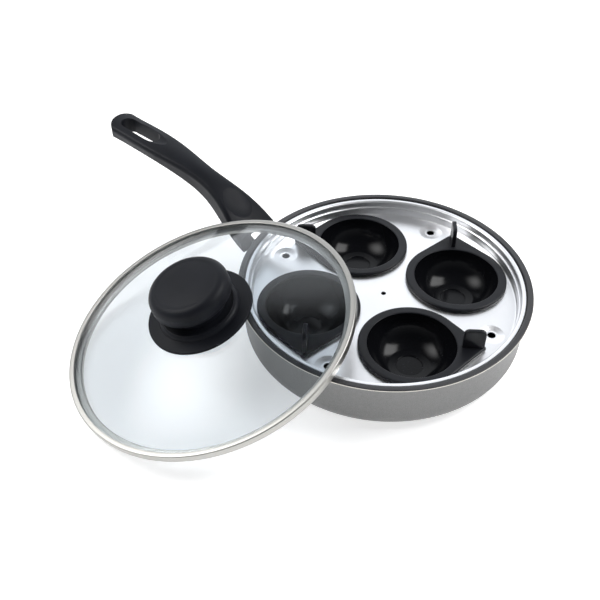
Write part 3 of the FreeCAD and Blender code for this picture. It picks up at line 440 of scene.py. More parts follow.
class Finish:
    """A node material with a shader and shared Object coordinates."""

    def __init__(self, name, matrix=None):
        self.material = bpy.data.materials.new(name)
        self.material.use_nodes = True
        self.tree = self.material.node_tree
        self.shader = self.tree.nodes["Principled BSDF"]
        self.coordinates = add_node(self.tree, "ShaderNodeTexCoord").outputs["Object"]
        if matrix is not None:
            mapping = add_node(self.tree, "ShaderNodeMapping")
            mapping.inputs["Location"].default_value = matrix.to_translation()
            mapping.inputs["Rotation"].default_value = matrix.to_euler()
            self.link(self.coordinates, mapping.inputs["Vector"])
            self.coordinates = mapping.outputs["Vector"]

    def link(self, source, target):
        self.tree.links.new(source, target)

    def set(self, **values):
        """Sets the shader's own sockets, named with underscores for spaces."""
        for key, value in values.items():
            socket = self.shader.inputs[key.replace("_", " ")]
            socket.default_value = (*value, 1.0) if np.ndim(value) else value

    def noise(self, scale, detail=3.0):
        """Noise in space."""
        texture = add_node(self.tree, "ShaderNodeTexNoise")
        self.link(self.coordinates, texture.inputs["Vector"])
        return self.tuned(texture, scale, detail)

    def rings(self, scale, detail=4.0):
        """Noise along the sum of height and distance from the upright axis, as turning marks run."""
        flat = add_node(self.tree, "ShaderNodeVectorMath", operation="MULTIPLY")
        flat.inputs[1].default_value = (1.0, 1.0, 0.0)
        self.link(self.coordinates, flat.inputs[0])
        reach = add_node(self.tree, "ShaderNodeVectorMath", operation="LENGTH")
        self.link(flat.outputs[0], reach.inputs[0])
        height = parted(self.tree, self.coordinates)["Z"]
        texture = add_node(self.tree, "ShaderNodeTexNoise", noise_dimensions="1D")
        self.link(joined(self.tree, "ADD", (reach.outputs["Value"], height)), texture.inputs["W"])
        return self.tuned(texture, scale, detail)

    def tuned(self, texture, scale, detail):
        """Output of a noise of a scale and detail."""
        texture.inputs["Scale"].default_value = scale
        texture.inputs["Detail"].default_value = detail
        return texture.outputs["Fac"]

    def shade(self, value, rgb, dark, light):
        """Colour along a value, from a dark to a light multiple of one colour."""
        ramp = add_node(self.tree, "ShaderNodeValToRGB")
        for element, place, factor in zip(ramp.color_ramp.elements, NOISE_RANGE, (dark, light)):
            element.position = place
            element.color = (*np.minimum(np.array(rgb) * factor, 1.0), 1.0)
        self.link(value, ramp.inputs["Fac"])
        self.link(ramp.outputs["Color"], self.shader.inputs["Base Color"])

    def rough(self, value, low, high):
        """Roughness along a value."""
        self.link(ranged(self.tree, value, NOISE_RANGE, (low, high)), self.shader.inputs["Roughness"])

    def bump(self, value, strength, distance):
        """Relief along a value."""
        relief = add_node(self.tree, "ShaderNodeBump")
        relief.inputs["Strength"].default_value = strength
        relief.inputs["Distance"].default_value = distance
        self.link(value, relief.inputs["Height"])
        self.link(relief.outputs["Normal"], self.shader.inputs["Normal"])


def enamel_finish(rgb):
    """Satin enamel with fine flakes and a slight orange peel."""
    made = Finish("grey_enamel")
    made.shade(made.noise(scale=1900.0, detail=2.0), rgb, dark=0.82, light=1.18)
    made.rough(made.noise(scale=420.0), low=0.42, high=0.52)
    made.bump(made.noise(scale=900.0, detail=2.0), strength=0.05, distance=0.0002)
    made.set(Metallic=0.3)
    return made.material


def coating_finish(rgb):
    """Dark non-stick coating with a fine grain."""
    made = Finish("dark_coating")
    made.shade(made.noise(scale=1500.0), rgb, dark=0.85, light=1.25)
    made.rough(made.noise(scale=700.0), low=0.30, high=0.42)
    made.bump(made.noise(scale=1800.0, detail=2.0), strength=0.06, distance=0.0001)
    return made.material


def turned_metal_finish(name, rgb, low, high, matrix=None):
    """Metal with fine marks that run round its axis."""
    made = Finish(name, matrix)
    marks = made.rings(scale=2500.0)
    made.shade(marks, rgb, dark=0.95, light=1.03)
    made.rough(marks, low, high)
    made.bump(marks, strength=0.03, distance=0.00005)
    made.set(Metallic=1.0)
    return made.material


def sheet_finish(rgb):
    """Polished aluminium sheet with faint marks round its axis and a soft cloudiness."""
    made = Finish("tray_sheet")
    marks = made.rings(scale=900.0, detail=3.0)
    made.shade(made.noise(scale=26.0), rgb, dark=0.97, light=1.02)
    made.rough(marks, low=0.30, high=0.38)
    made.bump(marks, strength=0.01, distance=0.00002)
    made.set(Metallic=1.0)
    return made.material


def moulded_finish(name, rgb, low, high, grain, gloss):
    """Moulded black plastic: a fine grain, and roughness that wanders a little."""
    made = Finish(name)
    made.shade(made.noise(scale=38.0, detail=4.0), rgb, dark=0.85, light=1.2)
    made.rough(made.noise(scale=60.0), low, high)
    made.bump(made.noise(scale=2200.0, detail=2.0), strength=grain, distance=0.0001)
    made.set(Specular_IOR_Level=gloss)
    return made.material


def glass_finish(rgb):
    """Clear glass with a hardly visible waviness. Its tint is a faint real blue-green, deepened with painted shade
    that stands for the lid's shadow on the floor seen through it.
    """
    made = Finish("clear_glass")
    made.shade(made.noise(scale=14.0, detail=2.0), rgb, dark=0.995, light=1.0)
    made.bump(made.noise(scale=20.0, detail=1.0), strength=0.01, distance=0.0002)
    made.set(Roughness=0.0, IOR=1.36, Transmission_Weight=1.0)
    return made.material


def rubber_finish(rgb):
    """Matt rubber."""
    made = Finish("seal_rubber")
    made.shade(made.noise(scale=300.0), rgb, dark=0.85, light=1.1)
    made.rough(made.noise(scale=500.0), low=0.6, high=0.75)
    made.bump(made.noise(scale=1500.0, detail=2.0), strength=0.08, distance=0.0001)
    return made.material


def paint_node(node, material):
    """Gives a CAD node that stays a finish."""
    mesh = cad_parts[node].data
    mesh.materials.clear()
    mesh.materials.append(material)


# Operators

def lid_matrix(sizes):
    """Place of the lid: leant by its angle about the level line across its azimuth."""
    facing = Matrix.Rotation(sizes.azimuth, 4, "Z")
    across = facing @ Vector((0, 1, 0))
    along = facing @ Vector((sizes.reach, 0, 0))
    place = Matrix.Translation((along.x, along.y, sizes.middle))
    return place @ Matrix.Rotation(sizes.lean, 4, across) @ facing


class POACHER_OT_pan(bpy.types.Operator):
    """Turns the pan's body: bare base, grey outside, bare line round the lip, dark lip and inside"""
    bl_idname = "poacher.pan"
    bl_label = "Pan Body"

    def execute(self, context):
        size = context.scene.poacher_pan
        colours = context.scene.poacher_finish
        foot = size.base_radius + size.corner_radius
        lip_low = size.height - size.lip_thickness
        curve = ((lip_low - size.corner_radius) ** 2 + size.wall_flare ** 2) / (2 * size.wall_flare)
        inner_corner = size.corner_radius - size.wall_thickness
        hollow_radius = size.base_radius * size.hollow_share
        lip_inner = size.rim_radius - size.lip_width
        ledge = size.height - size.ledge_drop
        base = outline(
            (0.0, size.base_hollow),
            (hollow_radius, size.base_hollow),
            (hollow_radius + 2 * size.base_hollow, 0.0),
            (size.base_radius, 0.0),
        )
        outer_edge = size.rim_radius - size.lip_round
        inner_edge = lip_inner + size.lip_round
        lip_high = size.height - size.lip_round
        outside = outline(
            arc((size.base_radius, size.corner_radius), size.corner_radius, -QUARTER, 0, steps=14)[1:],
            bulge((foot, size.corner_radius), (foot + size.wall_flare, lip_low), curve, left=False, steps=10)[1:],
            (outer_edge, lip_low),
            arc((outer_edge, lip_low + size.lip_round), size.lip_round, -QUARTER, 0, steps=7)[1:],
            (size.rim_radius, lip_high),
        )
        bare_end = QUARTER * size.bare_share
        bare = arc((outer_edge, lip_high), size.lip_round, 0, bare_end, steps=5)[1:]
        coated = outline(
            arc((outer_edge, lip_high), size.lip_round, bare_end, QUARTER, steps=6)[1:],
            arc((inner_edge, lip_high), size.lip_round, QUARTER, math.pi, steps=7),
            (lip_inner, ledge),
            (lip_inner - size.ledge_width, ledge),
            (foot - size.wall_thickness, size.base_thickness + inner_corner),
            arc((foot - size.wall_thickness - inner_corner, size.base_thickness + inner_corner),
                inner_corner, 0, -QUARTER, steps=10)[1:],
            (0.0, size.base_thickness),
        )
        profile = outline(base, outside, bare, coated)
        zones = zone_marks((len(base) - 1, len(outside), len(bare), len(coated)))
        finishes = [
            turned_metal_finish("bare_base", colours.bare, low=0.25, high=0.40),
            enamel_finish(colours.enamel),
            turned_metal_finish("bare_line", colours.bare, low=0.25, high=0.40),
            coating_finish(colours.coating),
        ]
        skin("pan_body", [(turned(profile), False, zones)], finishes, "pan", ["pan_shell"])
        return {"FINISHED"}


class POACHER_OT_handle(bpy.types.Operator):
    """Dresses the handle's grip, its bracket, rivets and screw"""
    bl_idname = "poacher.handle"
    bl_label = "Handle"

    def execute(self, context):
        colours = context.scene.poacher_finish
        grip = moulded_finish("handle_plastic", colours.plastic, low=0.42, high=0.54, grain=0.18, gloss=0.17)
        paint_node("handle_grip", grip)
        steel = turned_metal_finish("bracket_steel", colours.steel, low=0.22, high=0.34)
        for node in ("handle_bracket", "bracket_rivets", "handle_screw"):
            paint_node(node, steel)
        return {"FINISHED"}


def plate(outer, holes, height):
    """Flat plate at a height inside a circle, less round holes: a triangulation of all the circles' points,
    without the triangles whose middle lies in a hole. A circle is (x, y, radius, steps)."""
    loops, edges = [], []
    first = 0
    for x, y, radius, steps in (outer, *holes):
        loops.append(arc((x, y), radius, 0, FULL, steps + 1)[:-1])
        number = first + np.arange(steps)
        edges.append(np.stack([number, np.roll(number, -1)], -1))
        first += steps
    corners = list(map(Vector, np.concatenate(loops).tolist()))
    found = delaunay_2d_cdt(corners, np.concatenate(edges).tolist(), [], HULL_TRIANGLES, FLAT_TOLERANCE)
    points = np.array(list(map(tuple, found[0])))
    triangles = np.array(found[2])
    middle = points[triangles].mean(1)
    kept = np.ones(len(triangles), bool)
    for x, y, radius, steps in holes:
        kept &= np.hypot(middle[:, 0] - x, middle[:, 1] - y) > radius * math.cos(math.pi / steps)
    return np.column_stack([points, np.full(len(points), height)]), triangles[kept]


def sheet_side(size, floor, step, wall, low, bend, top):
    """Profile of one side of the tray's wall, from the plate up to the flange: a fillet, the lower wall, a step
    with rounded corners, the upper wall and the bend. The same middles serve both sides."""
    fillet_middle = (size.wall_radius - size.step_width - size.fillet, size.top - size.depth + size.fillet)
    bend_middle = (size.wall_radius + size.sheet + size.bend, size.top - size.sheet - size.bend)
    soft = size.step_round
    return outline(
        (fillet_middle[0] - size.rest, floor),
        arc(fillet_middle, fillet_middle[1] - floor, -QUARTER, 0, steps=9),
        arc((low + soft, step - soft), soft, math.pi, QUARTER, steps=6),
        arc((wall - soft, step + soft), soft, -QUARTER, 0, steps=6),
        arc(bend_middle, bend, math.pi, QUARTER, steps=9),
        (size.radius, top),
    )


def dimple(size, top, under):
    """Closed profile of the sheet round a vent: a soft slope down to the vent and back under the sheet."""
    rise = math.atan2(size.dimple_depth, size.dimple_radius - size.dimple_floor)
    reach = size.dimple_round * math.tan(rise / 2)
    low = top - size.dimple_depth
    rim = size.dimple_radius + reach
    return outline(
        (rim + size.rest, top),
        arc((rim, top - size.dimple_round), size.dimple_round, QUARTER, QUARTER + rise, steps=6),
        arc((size.dimple_floor - reach, low + size.dimple_round), size.dimple_round,
            rise - QUARTER, -QUARTER, steps=6),
        (size.vent_radius, low),
        (size.vent_radius, low - size.sheet),
        (size.dimple_floor + size.sheet / 2, low - size.sheet),
        (size.dimple_radius + size.sheet / 2, under),
        (rim + size.rest, under),
    )


class POACHER_OT_tray(bpy.types.Operator):
    """Makes the pressed tray: turned wall and flange, flat plate with holes, and dimples round the vents"""
    bl_idname = "poacher.tray"
    bl_label = "Poaching Tray"

    def execute(self, context):
        size = context.scene.poacher_tray
        cup = context.scene.poacher_cup
        top = size.top - size.depth
        under = top - size.sheet
        step = size.top - size.step_drop
        low = size.wall_radius - size.step_width
        upper = sheet_side(size, top, step, size.wall_radius, low, size.sheet + size.bend, size.top)
        lower = sheet_side(size, under, step - size.sheet, size.wall_radius + size.sheet, low + size.sheet,
                           size.bend, size.top - size.sheet)
        walls = {
            "centre": outline((size.centre_hole, top), (size.centre_hole, under)),
            "cup": outline((size.cup_hole, top), (size.cup_hole, under)),
            "vent": dimple(size, top, under),
        }
        middles = {"centre": [(0.0, 0.0)]}
        for name, reach, start in (
                ("cup", cup.ring_radius, cup.ring_turn), ("vent", size.vent_ring, size.vent_turn)):
            middles[name] = arc((0.0, 0.0), reach, start, start + FULL, len(CUP_NAMES) + 1)[:-1]
        grids = [turned(outline(upper, lower[::-1]))]
        holes = []
        for name, wall in walls.items():
            for x, y in middles[name]:
                grids.append(turned(wall, HOLE_STEPS[name]) + (x, y, 0.0))
                holes.append((x, y, wall[0, 0], HOLE_STEPS[name]))
        work = bmesh.new()
        for grid in grids:
            quads = grid_faces(grid.shape[0], grid.shape[1], False)
            add_faces(work, grid.reshape(-1, 3), quads.reshape(-1, 4))
        for height in (top, under):
            add_faces(work, *plate((0.0, 0.0, upper[0, 0], TURN_STEPS), holes, height))
        bmesh.ops.remove_doubles(work, verts=work.verts, dist=SEAM_GAP)
        bmesh.ops.recalc_face_normals(work, faces=work.faces)
        mesh = bpy.data.meshes.new("tray_sheet")
        work.to_mesh(mesh)
        work.free()
        finish = sheet_finish(context.scene.poacher_finish.aluminium)
        dress("tray_sheet", mesh, [finish], "tray", ["poaching_tray"])
        return {"FINISHED"}


def teardrop(radius, reach, tip_round):
    """Outline of a flange with a tab: the hull of a circle about the middle and a small circle at the tab's
    point. On an arc the point is centre + radius * n, with the outward normal n = (cos a, sin a), and on the
    straight sides n stays the same. Returns points and normals."""
    centre = reach - tip_round * reach / radius
    edge = math.acos((radius - tip_round) / centre)
    tip_angle = np.linspace(-edge, edge, TIP_STEPS)
    ring_angle = np.linspace(edge, FULL - edge, RING_STEPS)
    tip_normal = np.stack([np.cos(tip_angle), np.sin(tip_angle)], -1)
    ring_normal = np.stack([np.cos(ring_angle), np.sin(ring_angle)], -1)
    tip = np.array([centre, 0.0]) + tip_round * tip_normal
    ring = radius * ring_normal
    along = np.linspace(0, 1, SIDE_STEPS)[1:-1, None]
    far_side = tip[-1] + along * (ring[0] - tip[-1])
    near_side = ring[-1] + along * (tip[0] - ring[-1])
    far_normal = np.repeat(ring_normal[:1], len(along), 0)
    near_normal = np.repeat(ring_normal[-1:], len(along), 0)
    points = np.concatenate([tip, far_side, ring, near_side])
    normals = np.concatenate([tip_normal, far_normal, ring_normal, near_normal])
    return points, normals


def cup_grid(size):
    """Cup surface: its rings follow the teardrop, moved in along its normals, up the flange's edge, and turn
    into circles of the bowl's profile at the mouth. Returns the grid and how many columns are outside."""
    points, normals = teardrop(size.flange_radius, size.tab_reach, size.tab_round)
    angle = np.arctan2(points[:, 1], points[:, 0])
    spoke = np.stack([np.cos(angle), np.sin(angle)], -1)
    high = size.flange_height
    edge = size.edge_round
    floor = high - size.bowl_depth
    dish_low = floor - size.dish_depth
    run = size.bowl_radius - size.bowl_floor
    curve = (run ** 2 + size.bowl_depth ** 2) / (2 * run)
    centre = size.bowl_radius - curve
    skin_curve = curve + size.bowl_wall
    shell_outer = centre + math.sqrt(skin_curve ** 2 - high ** 2)
    shell_foot = centre + math.sqrt(skin_curve ** 2 - (size.bowl_depth + size.bowl_wall) ** 2)
    low = floor - size.bowl_wall
    lower_edge = arc((edge, edge), edge, -QUARTER, -math.pi, steps=7)
    upper_edge = arc((edge, high - edge), edge, math.pi, QUARTER, steps=9)
    middle = high / 2
    crease = np.array([(0.0, middle - size.crease), (size.crease, middle), (0.0, middle + size.crease)])
    insets = np.concatenate([lower_edge, crease, upper_edge])
    mouth = size.mouth_round
    under = outline((0.0, low), (shell_foot / 2, low), (shell_foot, low),
                    bulge((shell_foot, low), (shell_outer, 0.0), skin_curve, left=True, steps=16)[1:])
    mouth_turn = arc((size.bowl_radius + mouth, high - mouth), mouth, QUARTER, math.pi, steps=6)
    bowl = outline(
        bulge((size.bowl_radius, high - mouth), (size.bowl_floor, floor), curve, left=False, steps=34),
        (size.dish_radius + size.dish_round, floor),
        arc((size.dish_radius + size.dish_round, floor - size.dish_round), size.dish_round,
            QUARTER, math.pi, steps=4)[1:],
        (size.dish_radius, dish_low + size.dish_bevel),
        (size.dish_radius - size.dish_bevel, dish_low),
        (size.dish_radius / 2, dish_low),
        (0.0, dish_low),
    )

    def circles(profile):
        """Rings round the bowl's axis of a profile of (r, z) rows."""
        ring = spoke[:, None, :] * profile[None, :, :1]
        rise = np.broadcast_to(profile[None, :, 1:], (len(spoke), len(profile), 1))
        return np.concatenate([ring, rise], -1)

    shaped = points[:, None, :] - normals[:, None, :] * insets[None, :, :1]
    shaped = np.concatenate(
        [shaped, np.broadcast_to(insets[None, :, 1:], (len(points), len(insets), 1))], -1)
    inside_edge = shaped[:, -1:, :]
    mouth_edge = circles(mouth_turn)
    blend = np.linspace(0, 1, 5)[1:-1][None, :, None]
    top = inside_edge + (mouth_edge[:, :1, :] - inside_edge) * blend
    grid = np.concatenate([circles(under), shaped, top, mouth_edge, circles(bowl)], 1)
    outside = len(under) + len(insets) + top.shape[1] + len(mouth_turn) - 1
    return grid, outside


def fin_grid(size):
    """Upright fin: rings of one outline, moved in by the rounding as they leave the middle of its thickness,
    and closed on both faces at the outline's middle."""
    low = size.flange_height / 2
    high = size.flange_height + size.fin_height
    corner = size.fin_corner
    edge = outline(
        np.linspace((size.fin_start, low), (size.fin_end, low), 12)[:-1],
        np.linspace((size.fin_end, low), (size.fin_end, high - corner), 12)[:-1],
        arc((size.fin_end - corner, high - corner), corner, 0, QUARTER, steps=12)[:-1],
        np.linspace((size.fin_end - corner, high), (size.fin_start + corner, high), 8)[:-1],
        arc((size.fin_start + corner, high - corner), corner, QUARTER, math.pi, steps=12)[:-1],
        np.linspace((size.fin_start, high - corner), (size.fin_start, low), 12)[:-1],
    )
    ahead = np.roll(edge, -1, 0) - np.roll(edge, 1, 0)
    normal = np.stack([ahead[:, 1], -ahead[:, 0]], -1)
    normal /= np.linalg.norm(normal, axis=1, keepdims=True)
    half = size.fin_thickness / 2
    soft = size.fin_round
    one_side = arc((soft, soft - half), soft, -QUARTER, -math.pi, steps=6)
    across = np.concatenate([one_side, one_side[::-1] * (1, -1)])
    ring = edge[:, None, :] - normal[:, None, :] * across[None, :, :1]
    depth = np.broadcast_to(across[None, :, 1:], (len(edge), len(across), 1))
    body = np.concatenate([ring[..., :1], depth, ring[..., 1:]], -1)
    middle = body[:, :1].mean(0, keepdims=True)
    near = np.repeat(middle, len(edge), 0)
    near_ring = body[:, :1] + (near - body[:, :1]) * FIN_FACE_INSET
    flip = np.array([1, -1, 1])
    return np.concatenate([near, near_ring, body, near_ring * flip, near * flip], 1)


class POACHER_OT_cups(bpy.types.Operator):
    """Makes the egg cups with their tabs and fins"""
    bl_idname = "poacher.cups"
    bl_label = "Egg Cups"

    def execute(self, context):
        size = context.scene.poacher_cup
        colours = context.scene.poacher_finish
        finishes = [
            moulded_finish("cup_satin", colours.cup_flange, low=0.30, high=0.40, grain=0.06, gloss=0.24),
            moulded_finish("cup_gloss", colours.cup, low=0.12, high=0.18, grain=0.01, gloss=0.15),
        ]
        grid, outside = cup_grid(size)
        zones = zone_marks((outside, grid.shape[1] - 1 - outside))
        fin = fin_grid(size)
        for index, name in enumerate(CUP_NAMES):
            azimuth = size.ring_turn + index * FULL / len(CUP_NAMES)
            place = Matrix.Translation((
                size.ring_radius * math.cos(azimuth), size.ring_radius * math.sin(azimuth), size.seat))
            place = place @ Matrix.Rotation(azimuth + size.tab_turn, 4, "Z")
            shells = [(moved(grid, place), False, zones), (moved(fin, place), False, 0)]
            skin(f"cup_{name}", shells, finishes, f"cup_{name}", [f"egg_cup_{name}"])
        return {"FINISHED"}


def dome(size, radius, lift):
    """Height at a radius of a sphere that lies a lift above the glass's upper face."""
    crown, curve = dome_shape(size)
    return crown - curve + np.sqrt((curve + lift) ** 2 - np.square(radius))


def dome_shape(size):
    """Height of the glass's crown and the radius of its sphere."""
    low = size.skirt_depth + size.ring_sheet + size.seal
    span = size.radius - size.ring_lip - size.seal
    curve = (span ** 2 + size.dome_rise ** 2) / (2 * size.dome_rise)
    return low + size.glass + size.dome_rise, curve


def lid_piece(name, profile, place, material, node, closed=True):
    """Turns a profile about the lid's axis into a piece that stands for a node of the lid."""
    skin(name, [(moved(turned(profile), place), closed, 0)], [material], "lid", [node])


class POACHER_OT_lid(bpy.types.Operator):
    """Turns the lid's ring and its domed glass"""
    bl_idname = "poacher.lid"
    bl_label = "Lid Ring and Glass"

    def execute(self, context):
        size = context.scene.poacher_lid
        colours = context.scene.poacher_finish
        place = lid_matrix(size)
        sheet = size.ring_sheet
        low = size.skirt_depth
        top = low + 2 * sheet + 2 * size.seal + size.glass
        lip = size.radius - size.ring_lip
        bend = size.ring_round
        inner_bend = bend - sheet
        hem = sheet / 2
        profile = outline(
            arc((size.skirt_radius - hem, hem), hem, -math.pi, 0, steps=9),
            (size.skirt_radius, low - size.skirt_bevel),
            (size.skirt_radius + size.skirt_bevel, low),
            arc((size.radius - bend, low + bend), bend, -QUARTER, 0, steps=8),
            arc((size.radius - bend, top - bend), bend, 0, QUARTER, steps=8),
            arc((lip + hem, top - hem), hem, QUARTER, 3 * QUARTER, steps=9),
            arc((size.radius - bend, top - bend), inner_bend, QUARTER, 0, steps=5),
            arc((size.radius - bend, low + bend), inner_bend, 0, -QUARTER, steps=5),
            (size.skirt_radius - sheet + size.inner_bevel, low + sheet),
            (size.skirt_radius - sheet, low + sheet - size.inner_bevel),
        )
        steel = turned_metal_finish("ring_steel", colours.ring, low=0.32, high=0.42, matrix=place.inverted())
        lid_piece("lid_ring", profile, place, steel, "lid_rim")
        glass_low = low + sheet + size.seal
        edge = size.radius - sheet - size.seal
        span = lip - size.seal
        reach = np.linspace(size.hole_radius, span, 60)
        under = np.stack([reach, dome(size, reach, 0.0) - size.glass], -1)
        over = np.stack([reach, dome(size, reach, 0.0)], -1)
        soft = size.glass_round
        pane = outline(
            under,
            arc((edge - soft, glass_low + soft), soft, -QUARTER, 0, steps=5),
            arc((edge - soft, glass_low + size.glass - soft), soft, 0, QUARTER, steps=5),
            over[::-1],
        )
        # The glass's tint carries painted shade for the lid's shadow on the floor
        glass = glass_finish(colours.glass)
        lid_piece("lid_pane", pane, place, glass, "lid_glass")
        paint_node("lid_rim_seal", rubber_finish(colours.rubber))
        return {"FINISHED"}


class POACHER_OT_knob(bpy.types.Operator):
    """Turns the knob and the disc under it, and dresses the screw, washers and insert"""
    bl_idname = "poacher.knob"
    bl_label = "Lid Knob"

    def execute(self, context):
        size = context.scene.poacher_knob
        lid = context.scene.poacher_lid
        colours = context.scene.poacher_finish
        place = lid_matrix(lid)
        crown = dome_shape(lid)[0]
        plastic = moulded_finish("knob_plastic", colours.plastic, low=0.42, high=0.52, grain=0.14, gloss=0.15)
        low = float(dome(lid, size.base_radius, lid.gap))
        top = low + size.base_edge
        seat = crown + lid.gap + size.base_web
        reach = np.linspace(lid.hole_radius, size.base_radius, 16)
        collar_top = top + size.collar_rise
        collar_inner = size.collar_radius - size.collar_width
        soft = size.collar_round
        collar_foot = size.collar_radius + size.collar_slope
        disc = outline(
            np.stack([reach, dome(lid, reach, lid.gap)], -1),
            arc((size.base_radius - size.base_round, top - size.base_round), size.base_round,
                0, QUARTER, steps=8),
            (collar_foot + size.collar_flat, top),
            bulge((collar_foot, top + size.collar_lift), (size.collar_radius, collar_top - soft),
                  size.collar_curve, left=True, steps=8),
            arc((size.collar_radius - soft, collar_top - soft), soft, 0, QUARTER, steps=5)[1:],
            arc((collar_inner + soft, collar_top - soft), soft, QUARTER, math.pi, steps=5),
            (collar_inner, seat),
            (lid.hole_radius, seat),
        )
        lid_piece("knob_disc", disc, place, plastic, "knob_base")
        foot = seat + lid.gap
        under = foot + size.stem_height
        side = under + size.edge_round + size.side
        shoulder = (size.shoulder_width ** 2 + size.shoulder_height ** 2) / (2 * size.shoulder_width)
        cap = size.radius - size.shoulder_width
        crown_curve = (cap ** 2 + size.crown ** 2) / (2 * size.crown)
        shoulder_top = side + size.shoulder_height
        pocket = foot + size.bore_depth
        fillet = size.stem_fillet
        mushroom = outline(
            (0.0, pocket),
            (size.bore, pocket),
            (size.bore, foot),
            (size.stem_radius, foot),
            (size.stem_radius, under - fillet),
            arc((size.stem_radius + fillet, under - fillet), fillet, math.pi, QUARTER, steps=6)[1:],
            arc((size.radius - size.edge_round, under + size.edge_round), size.edge_round,
                -QUARTER, 0, steps=9),
            bulge((size.radius, side), (cap, shoulder_top), shoulder, left=True, steps=18),
            bulge((cap, shoulder_top), (0.0, shoulder_top + size.crown), crown_curve, left=True, steps=16)[1:],
        )
        lid_piece("knob_cap", mushroom, place, plastic, "lid_knob", closed=False)
        steel = turned_metal_finish("fixing_steel", colours.steel, low=0.2, high=0.3, matrix=place.inverted())
        paint_node("lid_screw", steel)
        paint_node("lid_washer", steel)
        paint_node("lid_gasket", rubber_finish(colours.rubber))
        brass = turned_metal_finish("insert_brass", colours.brass, low=0.25, high=0.35, matrix=place.inverted())
        paint_node("knob_insert", brass)
        return {"FINISHED"}


def camera_axes(stage):
    """Right, down and forward directions of the camera: a level view turned down by the elevation, then by yaw,
    pitch and roll about the camera's own axes, and round the pan by the azimuth."""
    raised = stage.elevation
    forward = np.array([0.0, math.cos(raised), -math.sin(raised)])
    right = np.array([1.0, 0.0, 0.0])
    level = np.stack([right, np.cross(forward, right), forward])

    def spin(axis, angle):
        """Turn about an axis, as an array."""
        return np.array(Matrix.Rotation(angle, 3, axis))

    rows = spin("Z", stage.roll) @ spin("X", stage.pitch) @ spin("Y", -stage.yaw) @ level
    return rows @ spin("Z", stage.azimuth).T


def studio_world(stage, forward):
    """Surroundings whose brightness depends on the direction alone: a white backdrop behind the pan, paler walls
    near the horizon and a dim ceiling."""
    world = bpy.data.worlds.new("white_studio")
    world.use_nodes = True
    tree = world.node_tree
    outward = add_node(tree, "ShaderNodeTexCoord").outputs["Generated"]
    towards = add_node(tree, "ShaderNodeVectorMath", operation="DOT_PRODUCT")
    towards.inputs[1].default_value = Vector((forward[0], forward[1], BACKDROP_RISE)).normalized()
    tree.links.new(outward, towards.inputs[0])
    backdrop = ranged(tree, towards.outputs["Value"], BACKDROP_FADE, (stage.ceiling, stage.backdrop), "SMOOTHSTEP")
    walls = ranged(tree, parted(tree, outward)["Z"], WALL_FADE,
                   (stage.ceiling, stage.backdrop * stage.horizon), "SMOOTHSTEP")
    background = tree.nodes["Background"]
    background.inputs["Color"].default_value = (*stage.tint, 1.0)
    tree.links.new(joined(tree, "MAXIMUM", (backdrop, walls)), background.inputs["Strength"])
    return world


def soften(light, plateau):
    """Fades a softbox from a plateau in its middle to its edges: smooth steps both ways, multiplied."""
    light.use_nodes = True
    tree = light.node_tree
    place = parted(tree, add_node(tree, "ShaderNodeNewGeometry").outputs["Parametric"])
    half = 1 / 2
    fades = []
    for letter in "XY":
        centred = add_node(tree, "ShaderNodeMath", operation="SUBTRACT")
        centred.inputs[1].default_value = half
        tree.links.new(place[letter], centred.inputs[0])
        apart = joined(tree, "ABSOLUTE", centred.outputs)
        fades.append(ranged(tree, apart, (half, plateau), (0.0, 1.0), "SMOOTHSTEP"))
    tree.links.new(joined(tree, "MULTIPLY", fades), tree.nodes["Emission"].inputs["Strength"])


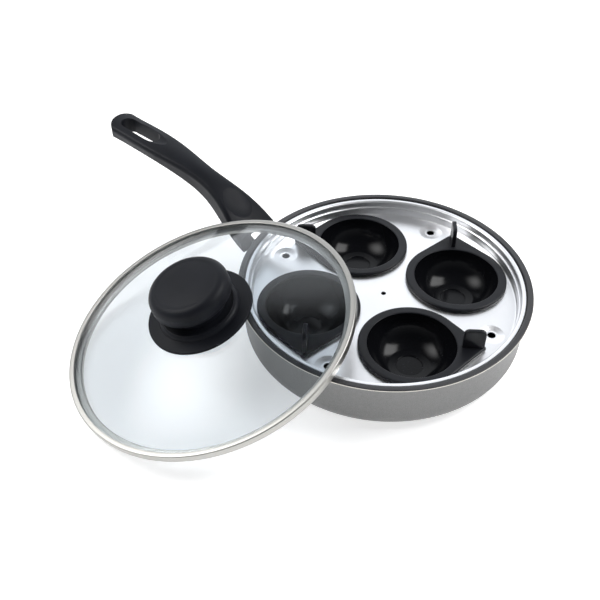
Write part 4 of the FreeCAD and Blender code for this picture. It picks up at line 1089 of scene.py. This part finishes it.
class POACHER_OT_stage(bpy.types.Operator):
    """Sets the floor, the soft light and the camera"""
    bl_idname = "poacher.stage"
    bl_label = "Stage"

    def execute(self, context):
        stage = context.scene.poacher_stage
        scene = context.scene
        scene.view_settings.view_transform = "Standard"
        right, down, forward = camera_axes(stage)
        camera = bpy.data.objects.new("camera", bpy.data.cameras.new("camera"))
        scene.collection.objects.link(camera)
        camera.data.lens = stage.lens
        camera.data.sensor_width = SENSOR_WIDTH
        camera.data.clip_start = CLIP_START
        turned_back = np.array(Matrix.Rotation(stage.azimuth, 3, "Z"))
        place = turned_back @ (stage.distance * np.array(
            [0.0, -math.cos(stage.elevation), math.sin(stage.elevation)]))
        axes = np.stack([right, -down, -forward], -1)
        camera.matrix_world = Matrix.Translation(place) @ Matrix(axes.tolist()).to_4x4()
        scene.camera = camera
        ring = np.linspace(0, 1, FLOOR_RINGS) ** 2 * stage.floor_radius
        profile = np.stack([ring, np.full_like(ring, -stage.floor_gap)], -1)
        mesh = bpy.data.meshes.new("floor")
        quads = grid_faces(FLOOR_STEPS, FLOOR_RINGS, False).reshape(-1, 4)
        mesh.from_pydata(turned(profile, FLOOR_STEPS).reshape(-1, 3).tolist(), [], quads.tolist())
        floor = bpy.data.objects.new("floor", mesh)
        scene.collection.objects.link(floor)
        pale = Finish("pale_floor")
        white = (1.0, 1.0, 1.0)
        pale.shade(pale.noise(scale=3.0), white, dark=0.86, light=0.88)
        pale.set(Roughness=0.9, Specular_IOR_Level=0.0, Emission_Color=white,
                 Emission_Strength=stage.floor_glow)
        mesh.materials.append(pale.material)
        scene.world = studio_world(stage, forward)
        for name, (way, plateau) in SOFTBOXES.items():
            side = getattr(stage, f"{name}_side")
            glow = getattr(stage, f"{name}_glow")
            lamp = bpy.data.objects.new(f"softbox_{name}", bpy.data.lights.new(f"softbox_{name}", "AREA"))
            scene.collection.objects.link(lamp)
            lamp.data.shape = "SQUARE"
            lamp.data.size = side
            lamp.data.energy = glow * math.pi * side ** 2
            towards = Vector(way).normalized()
            lamp.location = towards * stage.softbox_distance
            lamp.rotation_euler = towards.to_track_quat("Z", "Y").to_euler()
            soften(lamp.data, plateau)
        return {"FINISHED"}


PIECE_OPERATORS = (
    POACHER_OT_pan,
    POACHER_OT_handle,
    POACHER_OT_tray,
    POACHER_OT_cups,
    POACHER_OT_lid,
    POACHER_OT_knob,
    POACHER_OT_stage,
)


class POACHER_PT_sidebar(bpy.types.Panel):
    """Lists the pieces of the poacher"""
    bl_idname = "POACHER_PT_sidebar"
    bl_label = "Egg Poacher Pan"
    bl_space_type = "VIEW_3D"
    bl_region_type = "UI"
    bl_category = "Poacher"

    def draw(self, context):
        for operator in PIECE_OPERATORS:
            self.layout.operator(operator.bl_idname)


CLASSES = (*GROUPS.values(), *PIECE_OPERATORS, POACHER_PT_sidebar)


def register():
    for kind in CLASSES:
        bpy.utils.register_class(kind)
    for name, group in GROUPS.items():
        setattr(bpy.types.Scene, name, bpy.props.PointerProperty(type=group))


def unregister():
    for name in GROUPS:
        delattr(bpy.types.Scene, name)
    for kind in reversed(CLASSES):
        bpy.utils.unregister_class(kind)


def main():
    register()
    bpy.ops.poacher.stage()
    bpy.ops.poacher.pan()
    bpy.ops.poacher.handle()
    bpy.ops.poacher.tray()
    bpy.ops.poacher.cups()
    bpy.ops.poacher.lid()
    bpy.ops.poacher.knob()


if __name__ == "__main__":
    main()
